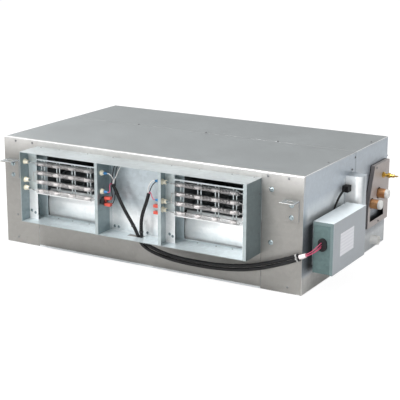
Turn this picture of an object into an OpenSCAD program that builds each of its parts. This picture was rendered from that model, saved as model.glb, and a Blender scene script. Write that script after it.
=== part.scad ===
// Low-profile ducted fan coil unit with two open-coil electric heaters in its discharge collar.
// Origin: centre of the casing underside. X runs to the pipe end, -Y is the discharge side, Z is up.

/* [Casing] */
// Width of the casing, end panel to end panel
casing_w = 1000; // [960:10:1200]
// Depth of the casing, discharge face to return face
casing_d = 600; // [596:2:700]
// Height of the casing
casing_h = 330; // [328:1:360]
// Thickness of the galvanised sheet
sheet_t = 1.2; // [0.8:0.1:1.6]
// Return of each end panel onto the front and rear faces
wrap_w = 123; // [110:1:140]
// Depth of the fan section, front face to section seam
fan_section_d = 352; // [340:1:356]
// Width of the inner flanges of the sheet panels
flange_w = 14; // [10:1:16]
// Height of the bottom panel's lip on the front and rear faces
bottom_lip = 6; // [4:1:10]
// Width of the lap strip over each side seam
lap_w = 8; // [6:1:12]

/* [Discharge collar] */
// Outside width of the collar
collar_w = 750; // [720:1:780]
// Outside height of the collar
collar_h = 211; // [206:1:214]
// Height of the collar above the casing underside
collar_z = 101; // [96:1:104]
// Depth of the collar in front of the casing
collar_d = 85; // [75:1:110]
// Return along the collar's side and partition front edges
collar_lip = 10; // [8:1:12]
// Clear width of the wiring bay between the partitions
bay_w = 201; // [180:1:210]
// Distance from the casing face to the wiring bay's back plate
bay_back = 12; // [8:1:16]
// Length of the cable slot in the bay floor
slot_len = 50; // [44:1:60]
// Width of the cable slot in the bay floor
slot_w = 20; // [18:1:24]
// Distance of the cable slot's middle from the casing face
slot_y = 40; // [36:1:44]

/* [Fan outlets] */
// Width of each fan outlet
outlet_w = 206; // [190:1:214]
// Height of the outlet's lower edge above the collar floor
sill_h = 4; // [3:1:30]
// Distance of the outlet's upper edge below the collar top
head_drop = 6; // [4:1:10]
// Height of the open throat at each fan outlet
throat_h = 116; // [104:1:124]

/* [Electric heaters] */
// Distance of the coil plane behind the collar's front edge
heater_setback = 30; // [28:1:36]
// Distance of the top coil row below the collar top
top_row_drop = 36.5; // [32:0.5:40]
// Vertical distance between coil rows
row_pitch = 27.3; // [24:0.1:30]
// Distance between columns of support rods
column_pitch = 54.8; // [50:0.1:58]
// Outside diameter of a heater coil
coil_od = 10; // [8:0.5:10.5]
// Diameter of the resistance wire
wire_d = 1.4; // [1:0.1:1.6]
// Distance between turns of a heater coil
turn_pitch = 6; // [6:0.5:12]
// Length of each coil row
coil_span = 206; // [192:1:206]
// Width of an insulator along the coil
bead_w = 18; // [14:1:22]
// Height of an insulator
bead_h = 14; // [13.5:0.5:15]
// Diameter of a support rod
rod_d = 3.2; // [2.6:0.2:4]
// Distance between the two rods of a column
rod_gap = 10; // [8:0.5:11]
// Width of the heater frame's side strips
strip_w = 30; // [24:1:32]
// Diameter of a terminal bushing
bushing_d = 12; // [10:1:14]
// Length of a terminal bushing inside the heater bay
bushing_len = 14; // [10:1:16]

/* [Fans] */
// Diameter of the fan wheels
wheel_d = 190; // [170:2:194]
// Length of each fan wheel
wheel_len = 182; // [160:1:186]
// Number of blades on each wheel
blade_count = 36; // [30:2:44]
// Radial depth of the blade ring
blade_depth = 19; // [16:1:22]
// Smallest gap between wheel and scroll
wheel_gap = 8; // [6:0.5:9]
// Growth of the scroll radius at each quarter turn
scroll_step = 20; // [16:1:21]
// Diameter of the motor shaft
shaft_d = 12; // [10:1:15]
// Diameter of the motor
motor_d = 130; // [110:2:140]
// Length of the motor
motor_len = 150; // [130:2:170]

/* [Cooling coil] */
// Lean of the coil from upright, top towards the return
coil_tilt = 22; // [18:1:24]
// Length of the fin slab up its slope
slab_len = 262; // [240:2:264]
// Thickness of the fin slab through the air path
slab_thick = 86; // [78:1:88]
// Distance of the slab's middle behind the section seam
slab_setback = 133; // [132:1:136]
// Height of the slab's middle
slab_z = 168; // [164:1:170]
// Gap between coil end plate and casing end, for bends and headers
end_gap = 52; // [48:1:60]
// Distance between fins
fin_pitch = 14; // [12:0.5:20]
// Thickness of a fin
fin_t = 1; // [0.6:0.1:1.4]
// Outside diameter of the coil tubes
tube_d = 9.5; // [8:0.5:10]
// Height of the drain pan's walls
pan_h = 48; // [46:1:50]

/* [Pipe connections] */
// Outside diameter of the copper sockets
pipe_d = 28.6; // [26:0.1:30]
// Length of a copper socket outside the pipe plate
pipe_len = 21; // [18:1:40]
// Length of the transit plug outside the socket
plug_len = 10; // [8:1:20]
// Outside diameter of the drain spigot
drain_d = 28; // [24:1:30]
// Length of the drain spigot outside the casing
drain_len = 23; // [20:1:40]
// Height of the drain spigot's axis
drain_z = 29; // [27:1:31]
// Depth of the pipe plate's tray
plate_d = 15; // [12:1:20]
// Width of the pipe plate along the casing
plate_w = 160; // [156:1:164]
// Height of the pipe plate
plate_h = 184; // [178:1:190]
// Height of the pipe plate's lower edge
plate_z = 81; // [78:1:84]

/* [Electrical box] */
// Depth of the control box away from the casing
box_x = 59; // [50:1:80]
// Length of the control box along the casing
box_y = 224; // [200:1:226]
// Height of the control box
box_z = 145; // [120:1:150]
// Air gap between control box and casing
box_gap = 15; // [10:1:25]
// Distance of the control box's front end behind the casing face
box_setback = 33; // [30:1:38]
// Height of the control box's lower edge
box_lift = 59; // [50:1:70]
// Length of the oval cable grommet
grommet_h = 36; // [30:1:40]
// Width of the oval cable grommet
grommet_w = 24; // [20:1:28]
// Width of the capacitor cover along the casing
cover_w = 50; // [48:1:60]
// Depth of the capacitor cover away from the casing
cover_d = 50; // [48:1:60]
// Height of the capacitor cover
cover_h = 135; // [120:1:140]
// Height of the capacitor cover's top
cover_top = 275; // [265:1:290]
// Diameter of the run capacitor
capacitor_d = 40; // [34:1:44]

/* [Hangers] */
// Distance of each hanger slot from the casing's nearer end
hanger_inset = 33; // [30:1:60]
// Width of a hanger bracket
hanger_w = 42; // [36:1:50]
// Reach of a hanger bracket from the casing
hanger_reach = 40; // [34:1:50]
// Height of the hanger brackets' upper face
hanger_z = 263; // [250:1:290]
// Length of the bracket leg down the casing
hanger_leg = 58; // [52:1:70]
// Thickness of the hanger brackets
hanger_t = 3; // [2.5:0.5:4]
// Width of the slot for the hanging rod
hanger_slot_w = 11; // [9:0.5:13]
// Length of the slot for the hanging rod
hanger_slot_len = 22; // [18:1:26]

/* [Return side] */
// Width of the return opening
return_w = 680; // [600:1:700]
// Height of the return opening
return_h = 244; // [220:1:248]
// Depth of the return duct flange
return_lip = 25; // [15:1:40]

/* [Hidden] */

// Smoothness of round faces
fine = 64;
// Smallest working gap between neighbouring sheets
seam_gap = 0.6;
// Overlap used where one cut passes a face
past = 1;

// Casing lines
t = sheet_t;
hw = casing_w / 2;
yf = -casing_d / 2;
yb = casing_d / 2;
fold_r = 2 * t;
fold_lip = 1;
wall_top = casing_h - fold_r - fold_lip;
seam_y = yf + fan_section_d;
mid_hw = hw - wrap_w - seam_gap;
seam_z0 = t + flange_w + seam_gap;
seam_z1 = wall_top - flange_w - seam_gap;
lap_t = 0.8;

// Collar lines
chw = collar_w / 2;
collar_y = yf - collar_d;
cz0 = collar_z;
cz1 = collar_z + collar_h;
bhw = bay_w / 2;
slot_at = [0, yf - slot_y];

// Heater lines: the right heater sits between the bay partition and the collar's end
heater_x = (chw - t + bhw + t) / 2;
heater_y = collar_y + heater_setback;
rod_back = 9;
rod_y = heater_y + rod_back;
rows = [for (i = [0:3]) cz1 - top_row_drop - i * row_pitch];
columns = [for (i = [-1.5:1:1.5]) heater_x + i * column_pitch];
bar_h = 4;
bar_over = 10;
bar_top = rows[0] + bar_over;
bar_low = rows[3] - bar_over;
fit_gap = 0.15;
coil_gap = 0.5;
pin_d = 2.4;
pin_len = 8;
stud_len = 3;
standoff_w = 12;
standoff_h = 10;
bushing_y = heater_y - 9;
bushing_rise = [4, 4, 7];
bushing_rows = [0, 2, 3];
bushing_flange = 3;
bushing_neck = bushing_d - 4;
bay_bushing_len = 8;
spade_d = 6.4;
spade_len = 13;
thermostat_d = 24;
thermostat_h = 9;
ear_reach = 16;
ear_w = 12;
ear_t = 1;
thermostat_y = yf - 58;
thermostat_z = rows[3] + 3;
button_d = 4.4;
button_stand = 3;
button_travel = 1.2;
button_bore = 4.2;
boot_len = 19;
boot_w = 12;
boot_h = 8;
boot_rise = 9.5;

// Fan lines: a four-centre scroll with its outlet at the top, facing forwards
wheel_r = wheel_d / 2;
front_gap = 2;
r_low = wheel_r + wheel_gap + scroll_step / 2;
r_back = r_low + scroll_step;
r_top = r_back + scroll_step;
outlet_z0 = cz0 + sill_h;
outlet_z1 = cz1 - head_drop;
scroll_y = yf + t + front_gap + r_low;
scroll_z = outlet_z1 - r_top - scroll_step;
tongue_z = outlet_z1 - throat_h;
axis_y = scroll_y - scroll_step / 2;
axis_z = scroll_z + scroll_step / 2;
inlet_r = wheel_r * 0.76;
inlet_roll = 8;
blade_r = 15;
blade_t = 1.2;
wheel_ring = 4;
hub_d = 34;
hub_len = 36;
shaft_gap = 0.05;
shaft_past = 6;
saddle_t = 3;
saddle_gap = 0.2;
saddle_y = 130;

// Cooling coil lines: u runs up the slab, n through it towards the return
slab_at = [0, seam_y + slab_setback, slab_z];
coil_hw = hw - end_gap;
end_t = 2;
tube_rows = 3;
tube_count = 10;
tube_step = 25;
row_step = tube_step;
tube_wall = 0.5;
plate_margin = 5;
foot_w = 60;
pan_t = 2;
pan_gap = 8;
pan_hw = hw - t - pan_gap;
pan_y0 = seam_y + 10;
pan_y1 = yb - 10;
function in_slab(n, u) = slab_at + [0, n * cos(coil_tilt) + u * sin(coil_tilt),
    -n * sin(coil_tilt) + u * cos(coil_tilt)];
tube_n = [for (row = [0:tube_rows - 1]) (row - (tube_rows - 1) / 2) * row_step];
tube_u = [for (k = [0:tube_count - 1]) (k - (tube_count - 1) / 2) * tube_step];
tube_places = [for (n = tube_n, u = tube_u) [in_slab(n, u).y, in_slab(n, u).z]];

// Pipe end lines
pipe_r = pipe_d / 2;
neck_r = pipe_r - 1.6;
pipe_wall = 1.2;
header_r = 13;
header_x = coil_hw + tube_step / 2 + tube_d / 2 + header_r + 0.5;
header_past = 6;
supply_n = -29;
return_n = 22;
supply_at = in_slab(supply_n, -26);
return_at = in_slab(13, 14);
vent_up = 71;
vent_at = in_slab(return_n, vent_up);
seal_t = 3;
plate_x = hw + plate_d;
plate_y = slab_at.y - 62;
slant_rise = 62;
slant_run = 42;
pipe_room = 3;
plate_edge = 6;
window_low = [17, 18];
window_size = [107, 36];
pipe_hole_z = plate_z + window_low.y + window_size.y + 1;
socket_x = plate_x + 2;
drain_y = slab_at.y + 13;
drain_bore = drain_d - 5;
drain_step = 0.4;
vent_r = 5;
vent_hex = 9;
vent_stub = 2;

// Control box lines
box_x0 = hw + box_gap;
box_x1 = box_x0 + box_x;
box_y0 = yf + box_setback;
box_y1 = box_y0 + box_y;
box_z0 = box_lift;
box_z1 = box_lift + box_z;
box_mid = (box_x0 + box_x1) / 2 - 1.5;
lid_fit = t + fit_gap;
box_end = box_y0 + lid_fit;
grommet_up = 83;
grommet_at = box_z0 + grommet_up;
grommet_t = 3;
grommet_out = 4;
grommet_wall = 3;
lid_lip = 9;
brace_w = 20;
brace_in = 30;
brace_end = 12;
brace_t = 1.5;
brace_web = 3;
block_at = [34, 24];
block_w = 26;
block_base = 12;
barrier_h = 24;
barrier_t = 2;
pole_pitch = 14;
pole_count = 6;
contactor_at = [132, 71];
contactor_steps = [[8, 72, 70], [38, 60, 58], [44, 36, 34]];
cover_y0 = box_y1 + 22;
pin_w = 6;
pin_t = 1;
pin_h = 12;
pin_gap = 9;
cover_r = 20;
cover_flange = 12;
flange_end = 6;
notch_low = 43;
notch_high = 25;
notch_d = 18;
bush_out = 24;

// Hanger lines
hanger_x = hw - hanger_inset;
hanger_mid = hanger_reach / 2;
bolt_low = [14.5, 48];
bolt_d = 10;
bolt_h = 3.5;
corner_clear = 31;
corner_x = chw + corner_clear;
corner_z = [136, 284];

// Heater cables: hand-laid routes of the two sleeved cables, bay first, then under the collar
cable_d = 10;
left_cable_route = [
    [-74, -345, 245], [-62, -346, 224], [-50, -347, 203], [-38, -347, 182], [-25, -346, 161],
    [-12, -344, 140], [-1, -342, 120], [7, -340, 101], [16.5, -340, 83.5], [34, -339, 70.5], [55, -338, 62],
    [78, -337, 56], [102, -336, 51.5], [126, -335, 48.5], [150, -334, 46.5], [174, -333, 45.5],
    [198, -332, 45], [222, -331, 45], [246, -330, 45.5], [270, -329, 47], [294, -328, 49],
    [318, -327, 52], [342, -326, 56], [365, -325, 61], [388, -324, 67], [410, -323, 74], [432, -322, 82],
    [454, -321, 90], [478, -319.8, 99.7], [502, -317.6, 109.5]
];
right_cable_route = [
    [46, -345, 234], [41, -346, 214], [34, -347, 194], [27, -347, 174], [22, -346, 154],
    [19.5, -344, 134], [18.5, -342, 116], [20, -341, 100], [28, -340, 88.5], [40, -339, 80.5],
    [58, -338, 73.5], [78, -337, 67.5], [102, -336, 62.5], [126, -335, 59.5], [150, -334, 57.5],
    [174, -333, 56.5], [198, -332, 56], [222, -331, 56], [246, -330, 56.5], [270, -329, 58],
    [294, -328, 60], [318, -327, 63], [342, -326, 67], [365, -325, 72], [388, -324, 78.5],
    [410, -323, 85.5], [432, -322, 93.5], [454, -321, 101.5], [476, -320, 110.5], [498, -318, 119.5]
];
// Marker sleeve that gathers the leads beyond the cables, from end to end
sleeve_d = 12;
sleeve_ends = [[500.4, -317.8, 114.6], [518, -316.2, 121.8]];
// Single leads: from the cables to the terminals, from the boots into the casing, from the sleeve to the box
lead_d = 2.6;
lead_routes = [
    [[-72.8, -346.1, 247], [-70, -349, 258], [-69, -356, 268], [-71, -362, 276], [-75, -364, 279.5],
        [-79.2, -364, 279.5]],
    [[-76.2, -346.1, 245], [-78, -350, 248], [-77, -357, 241], [-73, -362, 231], [-75, -364, 225],
        [-79.2, -364, 225]],
    [[-74.5, -342.8, 246], [-72, -341, 256], [-67, -338, 269], [-64, -332, 282], [-63, -321, 292],
        [-63, -313.6, 293]],
    [[-77, -351.6, 206], [-77, -345, 206.5], [-82, -339, 214], [-86, -334, 232], [-87, -329, 255],
        [-86, -325, 277], [-83.5, -321, 291.5], [-83, -313.6, 293]],
    [[-77, -351.6, 187], [-77, -344, 187.5], [-76, -337, 195], [-76, -332, 214], [-77, -328, 240],
        [-77, -325, 270], [-74.5, -321, 291.5], [-74, -313.6, 292.5]],
    [[44.4, -346.1, 235.7], [47, -350, 248], [56, -357, 263], [67, -362, 275], [75, -364, 279.5],
        [79.2, -364, 279.5]],
    [[48.1, -346.1, 234.7], [54, -350, 240], [62, -357, 237], [69, -362, 229], [75, -364, 225],
        [79.2, -364, 225]],
    [[46.3, -342.8, 235.2], [50, -341, 247], [59, -341, 262], [71, -339, 270], [82, -336, 263],
        [86, -335, 244], [84, -338, 222], [78, -345, 207], [77, -351.6, 206]],
    [[77, -351.6, 187], [77, -344, 187.5], [80, -337, 195], [84, -331, 214], [87, -327, 240],
        [87, -325, 272], [83.5, -321, 291], [83, -313.6, 292.5]],
    [[517.3, -316.2, 124.9], [522, -315.8, 126.8], [533, -302, 135], [540, -284, 145], [541, -271.4, 148]],
    [[519.1, -318.6, 120.8], [523.7, -318.2, 122.7], [534, -303, 129], [541, -284, 139], [542, -271.4, 142]],
    [[518.7, -313.5, 120.8], [523.3, -313.1, 122.7], [532, -300, 126], [540, -283, 133], [541, -271.4, 136]]
];
// Capacitor leads: from the bush in its cover down behind the control box
capacitor_lead_d = 3;
capacitor_routes = [
    [[509, -45.4, 243], [509, -52, 242.5], [508, -66, 237], [507, -84, 227], [507, -101, 214],
        [507, -113, 203], [508, -120, 193], [511, -124, 187], [514.6, -125, 186]],
    [[509, -45.4, 238], [509, -51, 237.5], [508, -64, 232], [507, -81, 222], [507, -97, 209],
        [507, -108, 198], [508, -114, 188], [511, -118, 182], [514.6, -119, 181]]
];

// Colours of the real materials
zinc = [0.72, 0.75, 0.77];
zinc_warm = [0.66, 0.66, 0.63];
zinc_top = [0.52, 0.53, 0.53];
copper = [0.62, 0.36, 0.22];
brass = [0.78, 0.62, 0.24];
cream = [0.9, 0.85, 0.72];
white = [0.92, 0.92, 0.9];
dark = [0.12, 0.12, 0.13];
steel = [0.6, 0.6, 0.6];

// Block between two opposite corners
module slab(low, high) {
    translate(low) cube(high - low);
}

// Same shape at both ends of the unit
module both_ends() {
    children();
    mirror([1, 0, 0]) children();
}

// Round bar along X
module bar_x(x0, x1, y, z, d) {
    translate([x0, y, z]) rotate([0, 90, 0]) cylinder(d = d, h = x1 - x0, $fn = fine);
}

// Round bar along Y
module bar_y(x, y0, y1, z, d) {
    translate([x, y0, z]) rotate([-90, 0, 0]) cylinder(d = d, h = y1 - y0, $fn = fine);
}

// Round bar between two points
module bar(p, q, d) {
    run = q - p;
    translate(p) rotate([0, acos(run.z / norm(run)), atan2(run.y, run.x)])
        cylinder(d = d, h = norm(run), $fn = fine);
}

// Plane shape in Y and Z, given thickness from x0 to x1
module across(x0, x1) {
    translate([x0, 0, 0]) rotate([90, 0, 90]) linear_extrude(x1 - x0) children();
}

// Plane shape in X and Z, given thickness from y0 to y1
module deep(y0, y1) {
    translate([0, y1, 0]) rotate([90, 0, 0]) linear_extrude(y1 - y0) children();
}

// One ring of points round p, square to the way it runs
function ring(p, run, side, r, count) =
    let (a = cross(run, side), b = cross(a, run))
    [for (k = [0:count - 1])
        p + r * (cos(360 * k / count) * a / norm(a) + sin(360 * k / count) * b / norm(b))];

// Solid tube swept along route; side gives each ring's own direction
module swept(route, sides, d, count) {
    n = len(route);
    points = [for (i = [0:n - 1])
        each ring(route[i], route[min(i + 1, n - 1)] - route[max(i - 1, 0)], sides[i], d / 2, count)];
    skin = [for (i = [0:n - 2], k = [0:count - 1])
        let (a = i * count + k, b = i * count + (k + 1) % count)
        each [[a, b, b + count], [a, b + count, a + count]]];
    caps = [[for (k = [count - 1:-1:0]) k], [for (k = [0:count - 1]) (n - 1) * count + k]];
    polyhedron(points, concat(caps, skin));
}

// Flexible cord along a hand-laid route
module cord(route, d, count) {
    swept(route, [for (p = route) [0, 0.6, 0.8]], d, count);
}

// Casing

module bottom_panel() color(zinc_warm) difference() {
    union() {
        slab([-hw, yf, 0], [hw, yb, t]);
        both_ends() slab([hw - 2 * t, yf + t, 0], [hw - t, yb - t, t + flange_w]);
        slab([-mid_hw, yf, 0], [mid_hw, yf + t, bottom_lip]);
        slab([-mid_hw, yb - t, 0], [mid_hw, yb, bottom_lip]);
    }
    drain_hole();
}

// Fan-section end panel, folded round onto the front face
module end_panel() {
    slab([hw - t, yf, t], [hw, seam_y, wall_top]);
    slab([hw - wrap_w, yf, t], [hw, yf + t, wall_top]);
    slab([hw - flange_w, seam_y - t, seam_z0], [hw, seam_y, seam_z1]);
}

module left_end_panel() color(zinc_warm) mirror([1, 0, 0]) end_panel();

module right_end_panel() color(zinc) end_panel();

// Coil-section end panel, folded round onto the rear face, with the lap strip over the seam
module coil_panel() {
    slab([hw - t, seam_y, t], [hw, yb, wall_top]);
    slab([hw - wrap_w, yb - t, t], [hw, yb, wall_top]);
    slab([hw - flange_w, seam_y, seam_z0], [hw, seam_y + t, seam_z1]);
    slab([hw - t / 2, seam_y, t], [hw + lap_t, seam_y + lap_w / 2, wall_top]);
    slab([hw, seam_y - lap_w / 2, t], [hw + lap_t, seam_y + lap_w / 2, wall_top]);
}

module left_coil_panel() color(zinc) mirror([1, 0, 0]) coil_panel();

module right_coil_panel() color(zinc) difference() {
    coil_panel();
    across(hw - t - past, hw + past) intersection() {
        plate_outline(plate_edge);
        translate([plate_y, pipe_hole_z]) square([plate_w, plate_h]);
    }
    drain_hole();
}

// Hole for the drain spigot through the casing's end
module drain_hole() {
    bar_x(hw - 2 * t - past, hw + past, drain_y, drain_z, drain_d + 4 * drain_step);
}

// Middle panel of the front or rear face, with flanges behind the end panels' returns
module middle_panel() {
    joggle = flange_w - 4;
    slab([-mid_hw, 0, bottom_lip + seam_gap], [mid_hw, t, wall_top]);
    both_ends() {
        slab([mid_hw - joggle, t / 2, seam_z0], [mid_hw, 2 * t, seam_z1]);
        slab([mid_hw - joggle, t, seam_z0], [mid_hw + flange_w, 2 * t, seam_z1]);
    }
}

module front_panel() color(zinc_warm) difference() {
    translate([0, yf, 0]) middle_panel();
    both_ends() slab([heater_x - outlet_w / 2, yf - past, outlet_z0],
        [heater_x + outlet_w / 2, yf + t + past, outlet_z1]);
}

module return_frame() color(zinc) {
    low = [-return_w / 2, yb - t, pan_h + t + 4];
    high = [return_w / 2, yb + return_lip, pan_h + t + 4 + return_h];
    wall = [t, 0, t];
    difference() {
        union() {
            translate([0, yb, 0]) rotate([0, 0, 180]) middle_panel();
            slab(low - wall, high + wall);
        }
        slab(low - [0, past + t, 0], high + [0, past, 0]);
    }
}

// Section of a top panel from a to b, inset by d, with both top edges rounded
module fold_section(a, b, d) {
    low = d > 0 ? wall_top - past : wall_top;
    for (at = [a + fold_r, b - fold_r]) translate([at, casing_h - fold_r]) circle(r = fold_r - d, $fn = fine);
    translate([a + fold_r, low]) square([b - a - 2 * fold_r, casing_h - d - low]);
    translate([a + d, low]) square([b - a - 2 * d, casing_h - fold_r - low]);
}

// Folded block from front a to rear b, cut off at depths y0 and y1
module fold_block(a, b, y0, y1, d) {
    intersection() {
        deep(y0, y1) fold_section(-hw, hw, d);
        across(-hw, hw) fold_section(a, b, d);
    }
}

// Top panel between two depths: outer edges folded round, and a flange inside all its edges
module top_sheet(a, b, y0, y1) {
    drop = wall_top - flange_w;
    edge0 = max(y0, a + t);
    edge1 = min(y1, b - t);
    difference() {
        fold_block(a, b, y0, y1, 0);
        fold_block(a, b, y0 - past, y1 + past, t);
    }
    both_ends() slab([hw - 2 * t, edge0, drop], [hw - t, edge1, casing_h - t / 2]);
    slab([2 * t - hw, edge0, drop], [hw - 2 * t, edge0 + t, casing_h - t / 2]);
    slab([2 * t - hw, edge1 - t, drop], [hw - 2 * t, edge1, casing_h - t / 2]);
}

module front_top_panel() color(zinc_top) top_sheet(yf, yb, yf, seam_y - seam_gap);

module rear_top_panel() color(zinc_top) top_sheet(yf, yb, seam_y + seam_gap, yb);

// Discharge collar

module discharge_collar() color(zinc) {
    difference() {
        slab([-chw, collar_y, cz0], [chw, yf, cz1]);
        slab([t - chw, collar_y - past, cz0 + t], [chw - t, yf + past, cz1 - t]);
        slab([-slot_len / 2, slot_at.y - slot_w / 2, cz0 - past],
            [slot_len / 2, slot_at.y + slot_w / 2, cz0 + t + past]);
    }
    both_ends() {
        slab([chw - collar_lip, collar_y, cz0], [chw, collar_y + t, cz1]);
        slab([chw - collar_lip, yf - t, cz0], [chw, yf, cz1]);
    }
}

// Channel between a heater bay and the wiring bay
module partition() {
    difference() {
        slab([bhw, collar_y, cz0 + t], [bhw + t, yf, cz1 - t]);
        for (i = [0, 1])
            bar_x(bhw - past, bhw + t + past, bushing_y, bushing_z(i), bushing_neck + 2 * fit_gap);
    }
    slab([bhw, collar_y, cz0 + t], [bhw + collar_lip, collar_y + t, cz1 - t]);
    slab([bhw, yf - t, cz0 + t], [bhw + collar_lip, yf, cz1 - t]);
}

module left_partition() color(zinc) mirror([1, 0, 0]) partition();

module right_partition() color(zinc) partition();

module bay_back_plate() color(zinc) {
    y1 = yf - bay_back;
    slab([-bhw, y1 - t, cz0 + t], [bhw, y1, cz1 - t]);
    both_ends() slab([bhw - t, y1 - t, cz0 + t], [bhw, yf - t, cz1 - t]);
}

// Electric heaters

function bushing_z(i) = rows[bushing_rows[i]] + bushing_rise[i];

// Side strips fixed to the bay walls, with two bars and the pairs of support rods between them
module heater_frame() {
    low = cz0 + t;
    high = cz1 - t;
    x0 = bhw + t;
    x1 = chw - t;
    foot = 18;
    slab([x0, rod_y, low], [x0 + strip_w, rod_y + t, high]);
    slab([x0, rod_y, low], [x0 + t, rod_y + foot, high]);
    slab([x1 - strip_w, rod_y, low], [x1, rod_y + t, high]);
    slab([x1 - t, rod_y, low], [x1, rod_y + foot, high]);
    for (z = [bar_low, bar_top])
        slab([x0 + strip_w / 2, rod_y - t, z - bar_h / 2], [x1 - strip_w / 2, rod_y + t, z + bar_h / 2]);
    for (x = columns, side = [-1, 1])
        translate([x + side * rod_gap / 2, rod_y, bar_low])
            cylinder(d = rod_d, h = bar_top - bar_low, $fn = fine);
}

module left_heater_frame() color(zinc) mirror([1, 0, 0]) heater_frame();

module right_heater_frame() color(zinc) heater_frame();

// One wound row: a helix that runs out into a straight tail at each end
module coil_row(z) {
    steps = 6;
    mid_r = (coil_od - wire_d) / 2;
    count = floor(coil_span / turn_pitch) * steps;
    outward = [for (i = [0:count]) [0, cos(360 * i / steps), sin(360 * i / steps)]];
    route = [for (i = [0:count])
        [heater_x + (i / count - 0.5) * coil_span, heater_y, z]
            + mid_r * min(1, i / steps, (count - i) / steps) * outward[i]];
    swept(route, outward, wire_d, 3);
}

module heater_coil() {
    for (z = rows) coil_row(z);
}

module left_heater_coil() color(steel) mirror([1, 0, 0]) heater_coil();

module right_heater_coil() color(steel) heater_coil();

// Ceramic insulator: a coil bore in front, threaded on its column's two rods behind
module insulator() {
    difference() {
        across(-bead_w / 2, bead_w / 2) {
            circle(d = bead_h, $fn = fine);
            translate([0, -bead_h / 2]) square([rod_back, bead_h]);
            translate([rod_back, 0]) circle(d = bead_h, $fn = fine);
        }
        bar_x(-bead_w, bead_w, 0, 0, coil_od + 2 * coil_gap);
        for (side = [-1, 1])
            translate([side * rod_gap / 2, rod_back, -bead_h])
                cylinder(d = rod_d + 2 * fit_gap, h = 2 * bead_h, $fn = fine);
    }
}

// Ceramic standoff on a heater's right-hand strip, between its two lower rows
module standoff(x1) {
    middle = (rows[2] + rows[3]) / 2;
    slab([x1 - standoff_w, rod_y - standoff_h, middle - standoff_h / 2],
        [x1, rod_y, middle + standoff_h / 2]);
}

module insulators() color(cream) {
    both_ends() for (x = columns, z = rows) translate([x, heater_y, z]) insulator();
    standoff(chw - t - strip_w / 2);
    standoff(-bhw - t - strip_w / 2);
}

// Lead from a row's tail to a bushing, bent out of one rod
module bushing_lead(end, z, bushing_height, wall) {
    tail = [heater_x + end * coil_span / 2, heater_y, z];
    face = [wall - end * bushing_len, bushing_y, bushing_height];
    cord([tail, tail + [end * pin_len, 0, 0], face - [end * stud_len, 0, 0], face], pin_d, 8);
}

// Leads at one end of a heater; the second and third rows are joined by a jumper
module end_leads(end, wall) {
    tail = [heater_x + end * coil_span / 2, heater_y, rows[1]];
    knee = tail + [end * pin_len, 0, 0];
    for (i = [0:2]) bushing_lead(end, rows[bushing_rows[i]], bushing_z(i), wall);
    cord([tail, knee, [knee.x, heater_y, rows[2]]], pin_d, 8);
}

module heater_leads() color(steel) both_ends() {
    end_leads(-1, bhw + t);
    end_leads(1, chw - t);
}

// Ceramic bushing standing on a wall, along +X
module bushing(len) {
    bar_x(0, len, 0, 0, bushing_d);
    bar_x(0, bushing_flange, 0, 0, bushing_d + 4);
}

module terminal_bushings() color(cream) both_ends() {
    for (i = [0:2]) {
        translate([chw - t, bushing_y, bushing_z(i)]) mirror([1, 0, 0]) bushing(bushing_len);
        translate([bhw + t, bushing_y, bushing_z(i)]) bushing(bushing_len);
    }
    for (i = [0, 1]) {
        translate([bhw, bushing_y, bushing_z(i)]) mirror([1, 0, 0]) bushing(bay_bushing_len);
        bar_x(bhw - past, bhw + t + past, bushing_y, bushing_z(i), bushing_neck);
    }
}

// Crimped spade terminals on the bay bushings
module spade_terminals() color([0.1, 0.35, 0.75]) both_ends() for (i = [0, 1]) {
    x1 = bhw - bay_bushing_len;
    bar_x(x1 - spade_len, x1 - spade_len / 3, bushing_y, bushing_z(i), spade_d);
    slab([x1 - spade_len / 2, bushing_y - spade_d / 2, bushing_z(i) - 0.6],
        [x1, bushing_y + spade_d / 2, bushing_z(i) + 0.6]);
}

// Manual-reset limit thermostats on the bay side of the partitions, each on a plate with two ears
module thermostats() color(dark) both_ends() difference() {
    face = bhw - thermostat_h;
    union() {
        bar_x(face, bhw, thermostat_y, thermostat_z, thermostat_d);
        slab([bhw - ear_t, thermostat_y - ear_reach, thermostat_z - ear_w / 2],
            [bhw, thermostat_y + ear_reach, thermostat_z + ear_w / 2]);
    }
    bar_x(face - past, face + button_bore, thermostat_y, thermostat_z, button_d + 4 * fit_gap);
}

module reset_button() {
    face = bhw - thermostat_h;
    bar_x(face - button_stand, face + button_bore - button_travel - 2 * fit_gap,
        thermostat_y, thermostat_z, button_d);
}

module left_reset_button() color([0.75, 0.1, 0.1]) mirror([1, 0, 0]) reset_button();

module right_reset_button() color([0.75, 0.1, 0.1]) reset_button();

// Moulded boots over the thermostats' terminals
module thermostat_boots() color([0.75, 0.12, 0.14]) both_ends() for (side = [-1, 1]) {
    face = bhw - thermostat_h;
    middle = thermostat_z + side * boot_rise;
    slab([face - boot_len, thermostat_y - boot_w / 2, middle - boot_h / 2],
        [face, thermostat_y + boot_w / 2, middle + boot_h / 2]);
}

// Fans

// Scroll outline in Y and Z, inset by d: three growing arcs, then the straight throat
module scroll_outline(d) {
    big = 2 * r_top;
    intersection() {
        translate([scroll_y, scroll_z]) circle(r = r_low - d, $fn = fine);
        translate([scroll_y - big, scroll_z - big]) square([big, big + tongue_z + 2 * d - scroll_z]);
    }
    intersection() {
        translate([scroll_y, scroll_z + scroll_step]) circle(r = r_back - d, $fn = fine);
        translate([scroll_y, scroll_z + scroll_step - big]) square([big, big]);
    }
    intersection() {
        translate([scroll_y - scroll_step, scroll_z + scroll_step]) circle(r = r_top - d, $fn = fine);
        translate([scroll_y - scroll_step, scroll_z + scroll_step]) square([big, big]);
    }
    reach = d > 0 ? past : 0;
    translate([yf + t - reach, tongue_z + d])
        square([scroll_y - scroll_step - yf - t + reach, throat_h - 2 * d]);
}

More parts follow.
